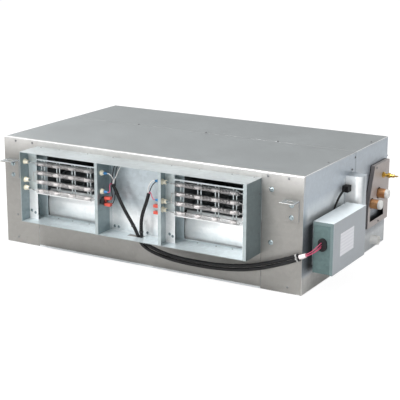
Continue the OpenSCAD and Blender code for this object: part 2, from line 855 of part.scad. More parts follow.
// Sheet-metal scroll with a rolled inlet in each side
module scroll() {
    x0 = heater_x - outlet_w / 2;
    x1 = heater_x + outlet_w / 2;
    across(x0, x1) difference() {
        scroll_outline(0);
        scroll_outline(t);
    }
    for (x = [x0, x1 - t]) across(x, x + t) difference() {
        scroll_outline(0);
        translate([axis_y, axis_z]) circle(r = inlet_r + inlet_roll, $fn = fine);
    }
    for (end = [-1, 1])
        translate([heater_x + end * outlet_w / 2, axis_y, axis_z]) rotate([0, -90 * end, 0])
            inlet_ring();
}

// Quarter-round roll of an inlet, mouth at z = 0 and drawn inwards
module inlet_ring() {
    rotate_extrude($fn = fine) translate([inlet_r + inlet_roll, inlet_roll]) intersection() {
        difference() {
            circle(r = inlet_roll, $fn = fine);
            circle(r = inlet_roll - t, $fn = fine);
        }
        translate([-inlet_roll, -inlet_roll]) square([inlet_roll + t, inlet_roll]);
    }
}

module left_scroll() color(zinc) mirror([1, 0, 0]) scroll();

module right_scroll() color(zinc) scroll();

// One forward-curved blade
module blade() {
    mid = wheel_r - blade_depth / 2;
    intersection() {
        difference() {
            circle(r = wheel_r - wheel_ring / 4, $fn = fine);
            circle(r = wheel_r - blade_depth, $fn = fine);
        }
        translate([mid, blade_r]) difference() {
            circle(r = blade_r + blade_t / 2, $fn = fine);
            circle(r = blade_r - blade_t / 2, $fn = fine);
        }
        translate([0, -blade_r]) square([wheel_d, 2 * blade_r]);
    }
}

// Double-inlet fan wheel: blades between two end rings, with a centre disc and hub
module wheel() {
    x0 = -wheel_len / 2;
    translate([heater_x, axis_y, axis_z]) difference() {
        union() {
            across(x0, -x0) for (k = [0:blade_count - 1]) rotate(k * 360 / blade_count) blade();
            for (x = [x0, -x0 - wheel_ring]) across(x, x + wheel_ring) difference() {
                circle(r = wheel_r, $fn = fine);
                circle(r = wheel_r - wheel_ring, $fn = fine);
            }
            bar_x(-1, 1, 0, 0, wheel_d - 2 * wheel_ring);
            bar_x(-hub_len / 2, hub_len / 2, 0, 0, hub_d);
        }
        bar_x(-wheel_len, wheel_len, 0, 0, shaft_d + 2 * shaft_gap);
    }
}

module left_wheel() color(zinc) mirror([1, 0, 0]) wheel();

module right_wheel() color(zinc) wheel();

module motor_shaft() color(steel) {
    end = heater_x + hub_len / 2 + shaft_past;
    bar_x(-end, end, axis_y, axis_z, shaft_d);
}

// Motor with stepped end shields, bored for its double-ended shaft
module motor() color([0.3, 0.31, 0.33]) difference() {
    half = motor_len / 2;
    shield = motor_len / 6;
    union() {
        bar_x(shield - half, half - shield, axis_y, axis_z, motor_d);
        bar_x(-half, half, axis_y, axis_z, motor_d * 0.86);
        bar_x(-half - 10, half + 10, axis_y, axis_z, shaft_d * 2.6);
    }
    bar_x(-motor_len, motor_len, axis_y, axis_z, shaft_d + 2 * shaft_gap);
}

// Two saddles on a base plate, standing on the bottom panel
module motor_cradle() color(zinc) {
    reach = motor_len / 3 - saddle_t;
    slab([-reach - saddle_t, axis_y - saddle_y / 2, t],
        [reach + saddle_t, axis_y + saddle_y / 2, t + saddle_t]);
    for (x = [-reach - saddle_t, reach]) difference() {
        slab([x, axis_y - saddle_y / 2, t], [x + saddle_t, axis_y + saddle_y / 2, axis_z - motor_d / 5]);
        bar_x(x - past, x + saddle_t + past, axis_y, axis_z, motor_d + 2 * saddle_gap);
    }
}

// Cooling coil

// Plate across the slab, larger by edge all round, with a hole for every tube
module tube_plate(edge) {
    difference() {
        translate([slab_at.y, slab_at.z]) rotate(-coil_tilt)
            square([slab_thick + 2 * edge, slab_len + 2 * edge], center = true);
        for (at = tube_places) translate(at) circle(d = tube_d + 2 * fit_gap, $fn = fine);
    }
}

// Plate fins, threaded on the tubes
module coil_fins() color([0.75, 0.78, 0.8]) {
    count = floor((2 * (coil_hw - end_t) - fin_t) / fin_pitch) - 1;
    for (i = [0:count])
        across((i - count / 2) * fin_pitch, (i - count / 2) * fin_pitch + fin_t) tube_plate(0);
}

// Straight tubes from end plate to end plate
module coil_tubes() color(copper) across(-coil_hw, coil_hw) for (at = tube_places)
    translate(at) difference() {
        circle(d = tube_d, $fn = fine);
        circle(d = tube_d - 2 * tube_wall, $fn = fine);
    }

// Tube plates at both ends of the slab, with feet that stand on the pan
module coil_end_plates() color(zinc) both_ends() across(coil_hw - end_t, coil_hw) {
    foot = in_slab(0, -slab_len / 2);
    tube_plate(plate_margin);
    translate([foot.y - foot_w / 2, t + pan_t]) square([foot_w, foot.z - t - pan_t]);
}

// Return bend round a point of the slab, standing out along +X; turn sets it up or through the slab
module return_bend(n, u, turn) {
    translate(in_slab(n, u)) rotate([turn - coil_tilt, 0, 0]) rotate([90, 90, 0])
        rotate_extrude(angle = 180, $fn = fine) translate([tube_step / 2, 0]) circle(d = tube_d, $fn = fine);
}

// Bends of the circuits: along each row at the left end, from row to row at the right end
module coil_bends() color(copper) for (k = [0:2:tube_count - 2]) {
    for (n = tube_n) translate([-coil_hw, 0, 0]) mirror([1, 0, 0])
        return_bend(n, tube_u[k] + tube_step / 2, 0);
    for (row = [0:tube_rows - 2]) translate([coil_hw, 0, 0])
        return_bend(tube_n[row] + row_step / 2, tube_u[k + 1 - row % 2], 90);
}

// Header up the slab's end, with a feeder to each circuit and a bored socket outside the pipe plate
module header(n, row, first, at) {
    low = in_slab(n, tube_u[first] - header_past) + [header_x, 0, 0];
    high = in_slab(n, tube_u[tube_count - 2 + first] + header_past) + [header_x, 0, 0];
    difference() {
        union() {
            bar(low, high, 2 * header_r);
            for (k = [first:2:tube_count - 1]) bar_x(coil_hw, header_x,
                in_slab(tube_n[row], tube_u[k]).y, in_slab(tube_n[row], tube_u[k]).z, tube_d);
            bar_x(header_x, socket_x, at.y, at.z, 2 * neck_r);
            bar_x(socket_x, socket_x + pipe_len, at.y, at.z, pipe_d);
        }
        bar_x(socket_x + 2, socket_x + pipe_len + past, at.y, at.z, pipe_d - 2 * pipe_wall);
    }
}

module supply_header() color(copper) header(supply_n, 0, 0, supply_at);

module return_header() color(copper) header(return_n, tube_rows - 1, 1, return_at);

// Transit plugs in the two sockets
module pipe_plugs() color(white) for (at = [supply_at, return_at]) {
    x1 = socket_x + pipe_len;
    bar_x(socket_x + pipe_len / 2, x1 + past, at.y, at.z, pipe_d - 2 * pipe_wall - 2 * fit_gap);
    bar_x(x1, x1 + plug_len, at.y, at.z, pipe_d - 4 * fit_gap);
}

module drain_pan() color(zinc) difference() {
    slab([-pan_hw, pan_y0, t], [pan_hw, pan_y1, t + pan_h]);
    slab([pan_t - pan_hw, pan_y0 + pan_t, t + pan_t], [pan_hw - pan_t, pan_y1 - pan_t, t + pan_h + past]);
    bar_x(pan_hw - pan_t - past, pan_hw + past, drain_y, drain_z, drain_bore);
}

module drain_spigot() color(white) difference() {
    flange = 3;
    step_x = hw + 1;
    union() {
        bar_x(pan_hw, pan_hw + flange, drain_y, drain_z, drain_d + 10);
        bar_x(pan_hw, step_x, drain_y, drain_z, drain_d + 2 * drain_step);
        bar_x(pan_hw, hw + drain_len, drain_y, drain_z, drain_d);
    }
    bar_x(pan_hw - past, hw + drain_len + past, drain_y, drain_z, drain_bore);
}

// Pipe plate outline in Y and Z, inset by edge; its front edge leans with the coil
module plate_outline(edge) {
    y0 = plate_y + edge;
    y1 = plate_y + plate_w - edge;
    z0 = plate_z + edge;
    z1 = plate_z + plate_h - edge;
    polygon([[y0, z0], [y1, z0], [y1, z1], [y0 + slant_run, z1], [y0, plate_z + slant_rise]]);
}

module pipe_plate() color([0.74, 0.7, 0.69]) {
    difference() {
        across(hw + seal_t, plate_x) plate_outline(0);
        across(hw + seal_t - past, plate_x - t) plate_outline(t);
        for (at = [supply_at, return_at])
            bar_x(hw, plate_x + past, at.y, at.z, pipe_d + 2 * pipe_room);
        bar_x(hw, plate_x + past, vent_at.y, vent_at.z, 2 * vent_r + 2 * fit_gap);
        across(hw, plate_x + past) translate([plate_y, plate_z] + window_low) square(window_size);
    }
}

// Foam strip between pipe plate and casing
module plate_seal() color(dark) across(hw, hw + seal_t) difference() {
    plate_outline(0);
    plate_outline(plate_edge);
}

// Air vent through the pipe plate, held by a nut behind and a hexagon in front
module vent_body() color(brass) translate([0, vent_at.y, vent_at.z]) {
    bar_x(plate_x - t - 6, plate_x + 26, 0, 0, 2 * vent_r);
    for (x = [plate_x - t - 5, plate_x])
        translate([x, 0, 0]) rotate([0, 90, 0]) cylinder(r = vent_hex, h = 5, $fn = 6);
    translate([plate_x + 16, 0, 0]) rotate([0, 90, 0]) cylinder(r = vent_r + 3, h = 7, $fn = 6);
    bar_x(plate_x + 26, plate_x + 34, 0, 0, 2 * vent_stub);
}

// Slotted key that turns on the vent's stub
module vent_key() color(brass) translate([0, vent_at.y, vent_at.z]) difference() {
    x0 = plate_x + 27;
    union() {
        bar_x(x0, x0 + 9, 0, 0, 2 * vent_r);
        slab([x0 + 9 - past, -vent_r, -1.2], [x0 + 20, vent_r, 1.2]);
    }
    bar_x(x0 - past, x0 + 7.5, 0, 0, 2 * vent_stub + 2 * shaft_gap);
}

// Electrical box

module oval(y0, y1, w, h) {
    straight = h - w;
    translate([box_mid, 0, grommet_at]) {
        for (side = [-1, 1]) bar_y(0, y0, y1, side * straight / 2, w);
        slab([-w / 2, y0, -straight / 2], [w / 2, y1, straight / 2]);
    }
}

// Tray of the control box, flanged round its open face and its open top
module control_box() color(zinc) difference() {
    low = [box_x0, box_end, box_z0 + lid_fit];
    high = [box_x1 - lid_fit, box_y1 - lid_fit, box_z1 - lid_fit];
    wall = [t, t, t];
    slab(low, high);
    slab(low + wall, high - wall);
    slab([high.x - 2 * t, low.y + lid_lip, low.z + lid_lip],
        [high.x + past, high.y - lid_lip, high.z - lid_lip]);
    slab([low.x + lid_lip, low.y + lid_lip, high.z - 2 * t],
        [high.x - lid_lip, high.y - lid_lip, high.z + past]);
    oval(box_end - past, box_end + t + past, grommet_w - 2 * grommet_wall, grommet_h - 2 * grommet_wall);
}

// Lid over the tray's top and outer face, with a lip turned over each end and underneath
module control_lid() color(zinc) difference() {
    slab([box_x0, box_y0, box_z0], [box_x1, box_y1, box_z1]);
    slab([box_x0 - past, box_y0 + t, box_z0 + t], [box_x1 - t, box_y1 - t, box_z1 - t]);
    slab([box_x0 - past, box_y0 - past, box_z0 - past], [box_x1 - lid_lip, box_y1 + past, box_z1 - lid_lip]);
}

// Hat-section brackets that carry the box off the casing
module box_brackets() color(zinc) for (y = [box_y0 + brace_in, box_y1 - brace_in - brace_w]) {
    low = box_z0 + brace_end;
    high = box_z1 - brace_end;
    web_y = y + (brace_w - brace_web) / 2;
    slab([hw, y, low], [hw + brace_t, y + brace_w, high]);
    slab([hw, web_y, low], [box_x0, web_y + brace_web, high]);
    slab([box_x0 - brace_t, y, low], [box_x0, y + brace_w, high]);
}

// Oval rubber grommet with a cable membrane in its middle, and the bush in the capacitor cover's notch
module cable_grommet() color(dark) {
    oval(box_y0 - grommet_out, box_end, grommet_w, grommet_h);
    oval(box_end - past, box_end + t + past, grommet_w - 2 * grommet_wall - 2 * fit_gap,
        grommet_h - 2 * grommet_wall - 2 * fit_gap);
    oval(box_end + t, box_end + t + grommet_t, grommet_w, grommet_h);
    slab([hw, cover_y0 - bush_out, cover_top - notch_low + fit_gap],
        [hw + notch_d - fit_gap, cover_y0 + 2 * t, cover_top - notch_high - fit_gap]);
}

// Terminal block on the box's back: a base with a raised barrier between its poles
module terminal_block() color(white) translate([box_x0 + t, box_y0 + block_at.x, box_z0 + block_at.y]) {
    cube([block_base, block_w, pole_count * pole_pitch + barrier_t]);
    for (k = [0:pole_count]) translate([0, 0, k * pole_pitch]) cube([barrier_h, block_w, barrier_t]);
}

// Contactor on the box's back: a foot, a body and a raised top, one upon the other
module heater_contactor() color(dark)
    translate([box_x0 + t, box_y0 + contactor_at.x, box_z0 + contactor_at.y])
    for (size = contactor_steps) translate([0, -size.y / 2, -size.z / 2]) cube(size);

// Run capacitor standing in its cover, with two tabs on top
module capacitor() color(white) {
    at = [hw + cover_d / 2, cover_y0 + cover_w / 2];
    low = cover_top - cover_h + t;
    tall = cover_h - 30;
    translate([at.x, at.y, low]) cylinder(d = capacitor_d, h = tall, $fn = fine);
    for (side = [-1, 1])
        slab([at.x - pin_w / 2, at.y + side * pin_gap - pin_t / 2, low + tall - past],
            [at.x + pin_w / 2, at.y + side * pin_gap + pin_t / 2, low + tall + pin_h]);
}

// Plan of the capacitor cover, inset by d: round outer corners and a side open to the casing
module cover_plan(d) {
    back = d > 0 ? hw - past : hw;
    for (y = [cover_y0 + cover_r, cover_y0 + cover_w - cover_r])
        translate([hw + cover_d - cover_r, y]) circle(r = cover_r - d, $fn = fine);
    translate([back, cover_y0 + d]) square([hw + cover_d - cover_r - back, cover_w - 2 * d]);
    translate([back, cover_y0 + cover_r]) square([hw + cover_d - d - back, cover_w - 2 * cover_r]);
}

// Sheet cover over the capacitor, with a flange in front and a notch for the wires
module capacitor_cover() color(zinc) {
    z0 = cover_top - cover_h;
    difference() {
        translate([0, 0, z0]) linear_extrude(cover_h) cover_plan(0);
        translate([0, 0, z0 + t]) linear_extrude(cover_h - 2 * t) cover_plan(t);
        slab([hw - past, cover_y0 - past, cover_top - notch_low],
            [hw + notch_d, cover_y0 + t + past, cover_top - notch_high]);
    }
    slab([hw, cover_y0 - cover_flange, cover_top - notch_high],
        [hw + t, cover_y0 + t, cover_top - flange_end]);
    slab([hw, cover_y0 - cover_flange, z0 + flange_end], [hw + t, cover_y0 + t, cover_top - notch_low]);
}

// Hangers and bolts

// Angle bracket on the front face, slotted for a hanging rod
module hanger() {
    difference() {
        union() {
            slab([hanger_x - hanger_w / 2, yf - hanger_t, hanger_z - hanger_leg],
                [hanger_x + hanger_w / 2, yf, hanger_z]);
            slab([hanger_x - hanger_w / 2, yf - hanger_reach, hanger_z - hanger_t],
                [hanger_x + hanger_w / 2, yf, hanger_z]);
        }
        translate([hanger_x, yf - hanger_mid, hanger_z - hanger_t - past]) slot_cut();
    }
}

module slot_cut() {
    straight = hanger_slot_len - hanger_slot_w;
    deep = hanger_t + 2 * past;
    for (side = [-1, 1]) translate([side * straight / 2, 0, 0])
        cylinder(d = hanger_slot_w, h = deep, $fn = fine);
    translate([-straight / 2, -hanger_slot_w / 2, 0]) cube([straight, hanger_slot_w, deep]);
}

module hanger_brackets() color(zinc) both_ends() {
    hanger();
    mirror([0, 1, 0]) hanger();
}

// Bolt heads on the hanger legs and the front corners
module bolt_head(x, y, z) {
    bar_y(x, y - bolt_h, y, z, bolt_d);
    bar_y(x, y - bolt_h / 3, y, z, bolt_d * 1.4);
}

module bracket_bolts() color(steel) both_ends() {
    for (drop = bolt_low) {
        bolt_head(hanger_x, yf - hanger_t, hanger_z - drop);
        mirror([0, 1, 0]) bolt_head(hanger_x, yf - hanger_t, hanger_z - drop);
    }
    for (z = corner_z) bolt_head(corner_x, yf, z);
}

// Cables

module left_heater_cable() color(dark) cord(left_cable_route, cable_d, 10);

module right_heater_cable() color(dark) cord(right_cable_route, cable_d, 10);

module cable_connector() color(white) bar(sleeve_ends[0], sleeve_ends[1], sleeve_d);

module cable_leads() color([0.8, 0.3, 0.35]) for (route = lead_routes) cord(route, lead_d, 8);

module capacitor_lead() color(dark) for (route = capacitor_routes) cord(route, capacitor_lead_d, 8);

bottom_panel();
left_end_panel();
right_end_panel();
left_coil_panel();
right_coil_panel();
front_panel();
return_frame();
front_top_panel();
rear_top_panel();
discharge_collar();
left_partition();
right_partition();
bay_back_plate();
left_heater_frame();
right_heater_frame();
left_heater_coil();
right_heater_coil();
insulators();
heater_leads();
terminal_bushings();
spade_terminals();
thermostats();
left_reset_button();
right_reset_button();
thermostat_boots();
left_scroll();
right_scroll();
left_wheel();
right_wheel();
motor_shaft();
motor();
motor_cradle();
coil_fins();
coil_tubes();
coil_bends();
coil_end_plates();
supply_header();
return_header();
pipe_plugs();
drain_pan();
drain_spigot();
pipe_plate();
plate_seal();
vent_body();
vent_key();
control_box();
control_lid();
box_brackets();
cable_grommet();
terminal_block();
heater_contactor();
capacitor();
capacitor_cover();
hanger_brackets();
bracket_bolts();
left_heater_cable();
right_heater_cable();
cable_connector();
cable_leads();
capacitor_lead();
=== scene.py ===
"""Looks of a ducted fan coil unit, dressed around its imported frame."""
import itertools
import math

import bmesh
import bpy
from mathutils import Matrix, Vector


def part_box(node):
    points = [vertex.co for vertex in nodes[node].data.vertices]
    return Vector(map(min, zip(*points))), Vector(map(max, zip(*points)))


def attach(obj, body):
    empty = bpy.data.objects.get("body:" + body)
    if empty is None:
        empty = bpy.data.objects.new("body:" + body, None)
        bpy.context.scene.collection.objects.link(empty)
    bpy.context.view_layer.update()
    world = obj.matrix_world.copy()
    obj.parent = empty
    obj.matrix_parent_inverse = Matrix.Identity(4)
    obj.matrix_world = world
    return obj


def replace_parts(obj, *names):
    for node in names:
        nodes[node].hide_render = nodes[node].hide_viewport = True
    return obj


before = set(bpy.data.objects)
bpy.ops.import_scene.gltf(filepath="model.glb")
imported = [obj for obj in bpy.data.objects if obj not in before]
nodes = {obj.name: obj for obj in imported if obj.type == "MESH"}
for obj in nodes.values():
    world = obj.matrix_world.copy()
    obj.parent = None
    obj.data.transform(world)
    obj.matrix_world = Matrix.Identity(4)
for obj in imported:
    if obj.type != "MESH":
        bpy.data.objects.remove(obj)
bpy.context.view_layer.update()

MM_PER_METRE = 1000
MM = 1 / MM_PER_METRE


def corners_mm(name):
    """Low and high corner of a CAD node, in millimetres."""
    return [Vector(corner) * MM_PER_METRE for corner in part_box(name)]


# Camera, as the photograph was taken

FRAME_PX = 400
FOCAL_PX = 1161.0
SENSOR_MM = 36.0
CAMERA_AT = Vector((1.7342, -2.9869, 1.0615))
AZIMUTH = math.radians(29.96)
ELEVATION = math.radians(15.11)
ROLL = math.radians(0.251)


def make_camera():
    """Camera turned to its azimuth, elevation and slight roll."""
    data = bpy.data.cameras.new("camera")
    data.sensor_width = SENSOR_MM
    data.lens = FOCAL_PX / FRAME_PX * SENSOR_MM
    back = Vector((math.sin(AZIMUTH) * math.cos(ELEVATION), -math.cos(AZIMUTH) * math.cos(ELEVATION),
                   math.sin(ELEVATION)))
    right = Vector((math.cos(AZIMUTH), math.sin(AZIMUTH), 0))
    up = back.cross(right)
    level = Matrix((right, up, back)).transposed().to_4x4()
    camera = bpy.data.objects.new("camera", data)
    camera.matrix_world = Matrix.Translation(CAMERA_AT) @ level @ Matrix.Rotation(ROLL, 4, "Z")
    bpy.context.scene.collection.objects.link(camera)
    bpy.context.scene.camera = camera


# Materials

FRONT = (0, -1, 0)
REAR = (0, 1, 0)
RIGHT = (1, 0, 0)
TOP = (0, 0, 1)


class Surface:
    """A material under construction: its node tree, its shader and short ways to add nodes."""

    def __init__(self, name, metallic, roughness):
        self.material = bpy.data.materials.new(name)
        self.material.use_nodes = True
        self.tree = self.material.node_tree
        self.shader = self.tree.nodes["Principled BSDF"]
        self.shader.inputs["Metallic"].default_value = metallic
        self.shader.inputs["Roughness"].default_value = roughness
        coordinates = self.tree.nodes.new("ShaderNodeTexCoord")
        self.place = coordinates.outputs["Object"]
        self.normal = coordinates.outputs["Normal"]

    def node(self, kind, links=(), **values):
        """New node with links to its inputs and plain values on the others."""
        made = self.tree.nodes.new(kind)
        for key, value in values.items():
            made.inputs[key.replace("_", " ")].default_value = value
        for key, source in dict(links).items():
            self.tree.links.new(source, made.inputs[key])
        return made

    def stretched(self, scale):
        """Object coordinates stretched by scale, for drawn and rolled finishes."""
        return self.node("ShaderNodeMapping", {"Vector": self.place}, Scale=scale).outputs["Vector"]

    def noise(self, scale, detail, vector=None):
        """Grey noise of a scale in cells per metre."""
        made = self.node("ShaderNodeTexNoise", {"Vector": vector or self.place}, Scale=scale, Detail=detail)
        return made.outputs["Fac"]

    def cells(self, scale):
        """Crystal cells, each with its own grey."""
        found = self.node("ShaderNodeTexVoronoi", {"Vector": self.place}, Scale=scale).outputs["Color"]
        return self.node("ShaderNodeSeparateColor", {"Color": found}).outputs["Red"]

    def sum(self, parts):
        """Weighted sum of grey outputs."""
        total = None
        for source, weight in parts:
            scaled = self.node("ShaderNodeMath", {0: source})
            scaled.operation = "MULTIPLY_ADD"
            scaled.inputs[1].default_value = weight
            scaled.inputs[2].default_value = 0.0
            if total is not None:
                self.tree.links.new(total, scaled.inputs[2])
            total = scaled.outputs[0]
        return total

    def ramp(self, grey, dark, light, low=0.3, high=0.7):
        """Colour that runs from dark to light with a grey."""
        made = self.node("ShaderNodeValToRGB", {"Fac": grey})
        made.color_ramp.elements[0].position = low
        made.color_ramp.elements[0].color = (*dark, 1)
        made.color_ramp.elements[1].position = high
        made.color_ramp.elements[1].color = (*light, 1)
        return made.outputs["Color"]

    def mottled(self, grey, colour, contrast):
        """Colour that a grey makes darker and lighter by a contrast."""
        return self.ramp(grey, shade(colour, 1 - contrast), shade(colour, 1 + contrast))

    def blend(self, share, first, second):
        """Colour between two others by a share from 0 to 1."""
        made = self.tree.nodes.new("ShaderNodeMix")
        made.data_type = "RGBA"
        for socket, source in ((made.inputs[0], share), (made.inputs[6], first), (made.inputs[7], second)):
            self.tree.links.new(source, socket)
        return made.outputs[2]

    def times(self, first, second):
        """Product of two greys."""
        made = self.node("ShaderNodeMath", {0: first, 1: second})
        made.operation = "MULTIPLY"
        return made.outputs[0]

    def spread(self, grey, low, high, new_low, new_high):
        """A grey's range laid over a new one."""
        made = self.node("ShaderNodeMapRange", {"Value": grey}, From_Min=low, From_Max=high, To_Min=new_low,
                         To_Max=new_high)
        return made.outputs["Result"]

    def facing(self, axis, low=0.35, high=0.85):
        """1 on faces that look along an axis of the object, 0 on those across it."""
        made = self.node("ShaderNodeVectorMath", {0: self.normal})
        made.operation = "DOT_PRODUCT"
        made.inputs[1].default_value = axis
        return self.spread(made.outputs["Value"], low, high, 0.0, 1.0)

    def between(self, axis, low, high, soft=0.001):
        """1 between two places along an axis, in metres, with soft ends."""
        at = self.node("ShaderNodeSeparateXYZ", {"Vector": self.place}).outputs[axis]
        return self.times(self.spread(at, low - soft, low + soft, 0.0, 1.0),
                          self.spread(at, high - soft, high + soft, 1.0, 0.0))

    def within(self, x_range, y_range, z_range):
        """1 inside three ranges, each given as between takes it."""
        level = self.times(self.between(0, *x_range), self.between(1, *y_range))
        return self.times(level, self.between(2, *z_range))

    def occlusion_shade(self, reach, closed=0.45, clear=0.95):
        """Grey that rises from 0 in the open to 1 in corners and close behind other pieces, for painted shade
        there.
        """
        found = self.node("ShaderNodeAmbientOcclusion", Distance=reach)
        found.samples = 6
        return self.spread(found.outputs["AO"], closed, clear, 1.0, 0.0)

    def base(self, colour):
        """Uses a colour as the shader's own."""
        self.tree.links.new(colour, self.shader.inputs["Base Color"])

    def rough(self, grey, low, high):
        """Roughness that runs from low to high with a grey."""
        self.tree.links.new(self.spread(grey, 0.25, 0.75, low, high), self.shader.inputs["Roughness"])

    def bump(self, grey, depth, strength):
        """Relief of a depth in metres."""
        made = self.node("ShaderNodeBump", {"Height": grey}, Strength=strength, Distance=depth)
        self.tree.links.new(made.outputs["Normal"], self.shader.inputs["Normal"])


def shade(colour, factor):
    """A colour made lighter or darker."""
    return tuple(min(1.0, c * factor) for c in colour)


# Painted highlight: faces turned halfway between the front or a side and the top get a bright colour, in
# place of light caught on rounded folds.
FOLD_HIGHLIGHT_AXES = ((0, -0.707, 0.707), (0.707, 0, 0.707), (-0.707, 0, 0.707))
FOLD_HIGHLIGHT_FACING = (0.86, 0.95)
# Painted shade on the casing's side in the gap behind the control box: its height range, the reach of the
# occlusion and how dark it gets.
BOX_GAP_Z = (0.055, 0.192, 0.006)
BOX_GAP_REACH = 0.1
BOX_GAP_SHADE = 0.08


def galvanised(name, colour, contrast, roughness, metallic=0.75, sides=(), spots=(), edges=None, shaded=None):
    """Zinc-coated sheet: soft clouds, a faint spangle and rolling streaks.

    sides are (axis, colour) pairs of painted light and shade, each for the faces that look along its axis,
    and spots are (place, colour) pairs of painted light and shade, each laid over what comes before it. edges
    is the colour of a painted highlight on folds, and shaded is the axis of a side that gets painted shade
    behind the control box.
    """
    made = Surface(name, metallic, roughness)
    clouds = made.noise(scale=7, detail=4)
    spangle = made.cells(scale=95)
    streaks = made.noise(scale=5, detail=2, vector=made.stretched((1.0, 1.0, 40.0)))
    fine = made.noise(scale=900, detail=2)
    grey = made.sum([(clouds, 0.45), (spangle, 0.2), (streaks, 0.2), (fine, 0.15)])
    coat = made.mottled(grey, colour, contrast)
    # Painted light and shade: each side gets its own colour by the way it faces.
    for axis, other in sides:
        coat = made.blend(made.facing(axis), coat, made.mottled(grey, other, contrast))
    # Painted light and shade: places made lighter or darker.
    for place, other in spots:
        coat = made.blend(made.within(*place), coat, made.mottled(grey, other, contrast))
    # Painted highlight on folds.
    if edges:
        for axis in FOLD_HIGHLIGHT_AXES:
            coat = made.blend(made.facing(axis, *FOLD_HIGHLIGHT_FACING), coat, made.mottled(grey, edges, contrast))
    # Painted shade behind the control box, deepest where other pieces close in.
    if shaded:
        gap = made.times(made.facing(shaded), made.between(2, *BOX_GAP_Z))
        gap = made.times(gap, made.occlusion_shade(BOX_GAP_REACH))
        coat = made.blend(gap, coat, made.mottled(grey, shade(colour, BOX_GAP_SHADE), contrast))
    made.base(coat)
    made.rough(grey, roughness - 0.07, roughness + 0.07)
    made.bump(made.sum([(spangle, 0.4), (fine, 0.6)]), depth=0.00012, strength=0.35)
    return made.material


def drawn_metal(name, colour, roughness, contrast=0.12, stretch=(8.0, 90.0, 90.0), metallic=1.0):
    """Bright drawn or turned metal with lines along one axis and a little tarnish."""
    made = Surface(name, metallic, roughness)
    lines = made.noise(scale=14, detail=3, vector=made.stretched(stretch))
    tarnish = made.noise(scale=60, detail=4)
    grey = made.sum([(lines, 0.5), (tarnish, 0.5)])
    made.base(made.mottled(grey, colour, contrast))
    made.rough(grey, roughness - 0.08, roughness + 0.1)
    made.bump(lines, depth=0.00006, strength=0.3)
    return made.material


def moulded(name, colour, roughness, contrast=0.08, grain=1400, depth=0.00005, gloss=0.5):
    """Plastic, rubber, paint or ceramic with a fine grain and uneven gloss."""
    made = Surface(name, 0.0, roughness)
    made.shader.inputs["Specular IOR Level"].default_value = gloss
    mottle = made.noise(scale=45, detail=3)
    fine = made.noise(scale=grain, detail=2)
    grey = made.sum([(mottle, 0.6), (fine, 0.4)])
    made.base(made.mottled(grey, colour, contrast))
    made.rough(grey, roughness - 0.08, roughness + 0.1)
    made.bump(fine, depth, strength=0.4)
    return made.material


def label_paper(name, ink, paper):
    """White paper of a blank sticker, with faint ruled lines."""
    made = Surface(name, 0.0, 0.55)
    rule = made.node("ShaderNodeTexWave", {"Vector": made.place}, Scale=34.0, Distortion=0.0)
    rule.bands_direction = "Z"
    fibre = made.noise(scale=700, detail=3)
    grey = made.sum([(rule.outputs["Fac"], 0.35), (fibre, 0.65)])
    made.base(made.ramp(grey, ink, paper))
    made.bump(fibre, depth=0.00003, strength=0.3)
    return made.material


# Places on the zinc with painted light and shade: painted reflections and highlights where lighter, painted
# shade where darker.
# Each is its x, y and z range in metres, and a range may end with its softness.

RIGHT_SIDE_X = (0.4994, 0.52, 0.0004)
FRONT_FACE_Y = (-0.31, -0.29)
BAY_X = (-0.1005, 0.1005)
BAY_PLATE_Y = (-0.325, -0.3)
COLLAR_ALL_X = (-0.376, 0.376)
IN_COLLAR = ((-0.375, 0.375), FRONT_FACE_Y, (0.102, 0.3115))
UPPER_FRONT = ((-0.51, 0.51), FRONT_FACE_Y, (0.305, 0.40, 0.03))
SIDE_FOOT = (RIGHT_SIDE_X, (0.03, 0.31), (-0.05, 0.075, 0.03))
SIDE_LOW = (RIGHT_SIDE_X, (-0.31, 0.0), (-0.05, 0.05, 0.008))
OVER_LID = (RIGHT_SIDE_X, (-0.28, -0.03, 0.01), (0.19, 0.235, 0.02))
BAY_BACK = (BAY_X, BAY_PLATE_Y, (0.165, 0.32, 0.025))
BAY_FOOT = (BAY_X, BAY_PLATE_Y, (0.1035, 0.165, 0.025))
RIGHT_WALL = ((0.1015, 0.115), (-0.383, -0.3), (0.1035, 0.17, 0.02))
LIPS = (COLLAR_ALL_X, (-0.387, -0.3835), (0.1, 0.313))
COLLAR_TOP = (COLLAR_ALL_X, (-0.387, -0.29), (0.3112, 0.314))
STRIPS = ((-0.374, 0.374), (-0.35, -0.343), (0.102, 0.193))
THROAT = ((-0.4, 0.4), (-0.31, -0.05), (0.185, 0.33))

# Colours of the zinc. The front beige and the top grey are painted light and shade on one sheet, and the near
# white is a painted reflection.

PAINTED_FRONT_BEIGE = (0.30, 0.292, 0.276)
STEEL_BLUE = (0.535, 0.59, 0.645)
PAINTED_TOP_GREY = (0.30, 0.32, 0.326)
ZINC = (0.62, 0.70, 0.725)
PAINTED_REFLECTION_WHITE = (0.97, 0.99, 1.0)
# Painted shade on the collar's faces that look right; its top is given nearly the plain zinc.
COLLAR_SHADED_SIDES = [(TOP, (0.63, 0.70, 0.725)), (RIGHT, (0.22, 0.275, 0.29))]
COLLAR_PAINTED_LIGHT_AND_SHADE = [
    # Painted shade on the upper bay plate.
    (BAY_BACK, (0.47, 0.525, 0.555)),
    # Painted reflection on the foot of the bay plate.
    (BAY_FOOT, PAINTED_REFLECTION_WHITE),
    # Painted shade on the bay's right wall, the collar's front lips and its roof.
    (RIGHT_WALL, (0.42, 0.47, 0.49)),
    (LIPS, (0.38, 0.43, 0.44)),
    (COLLAR_TOP, (0.50, 0.54, 0.55)),
]
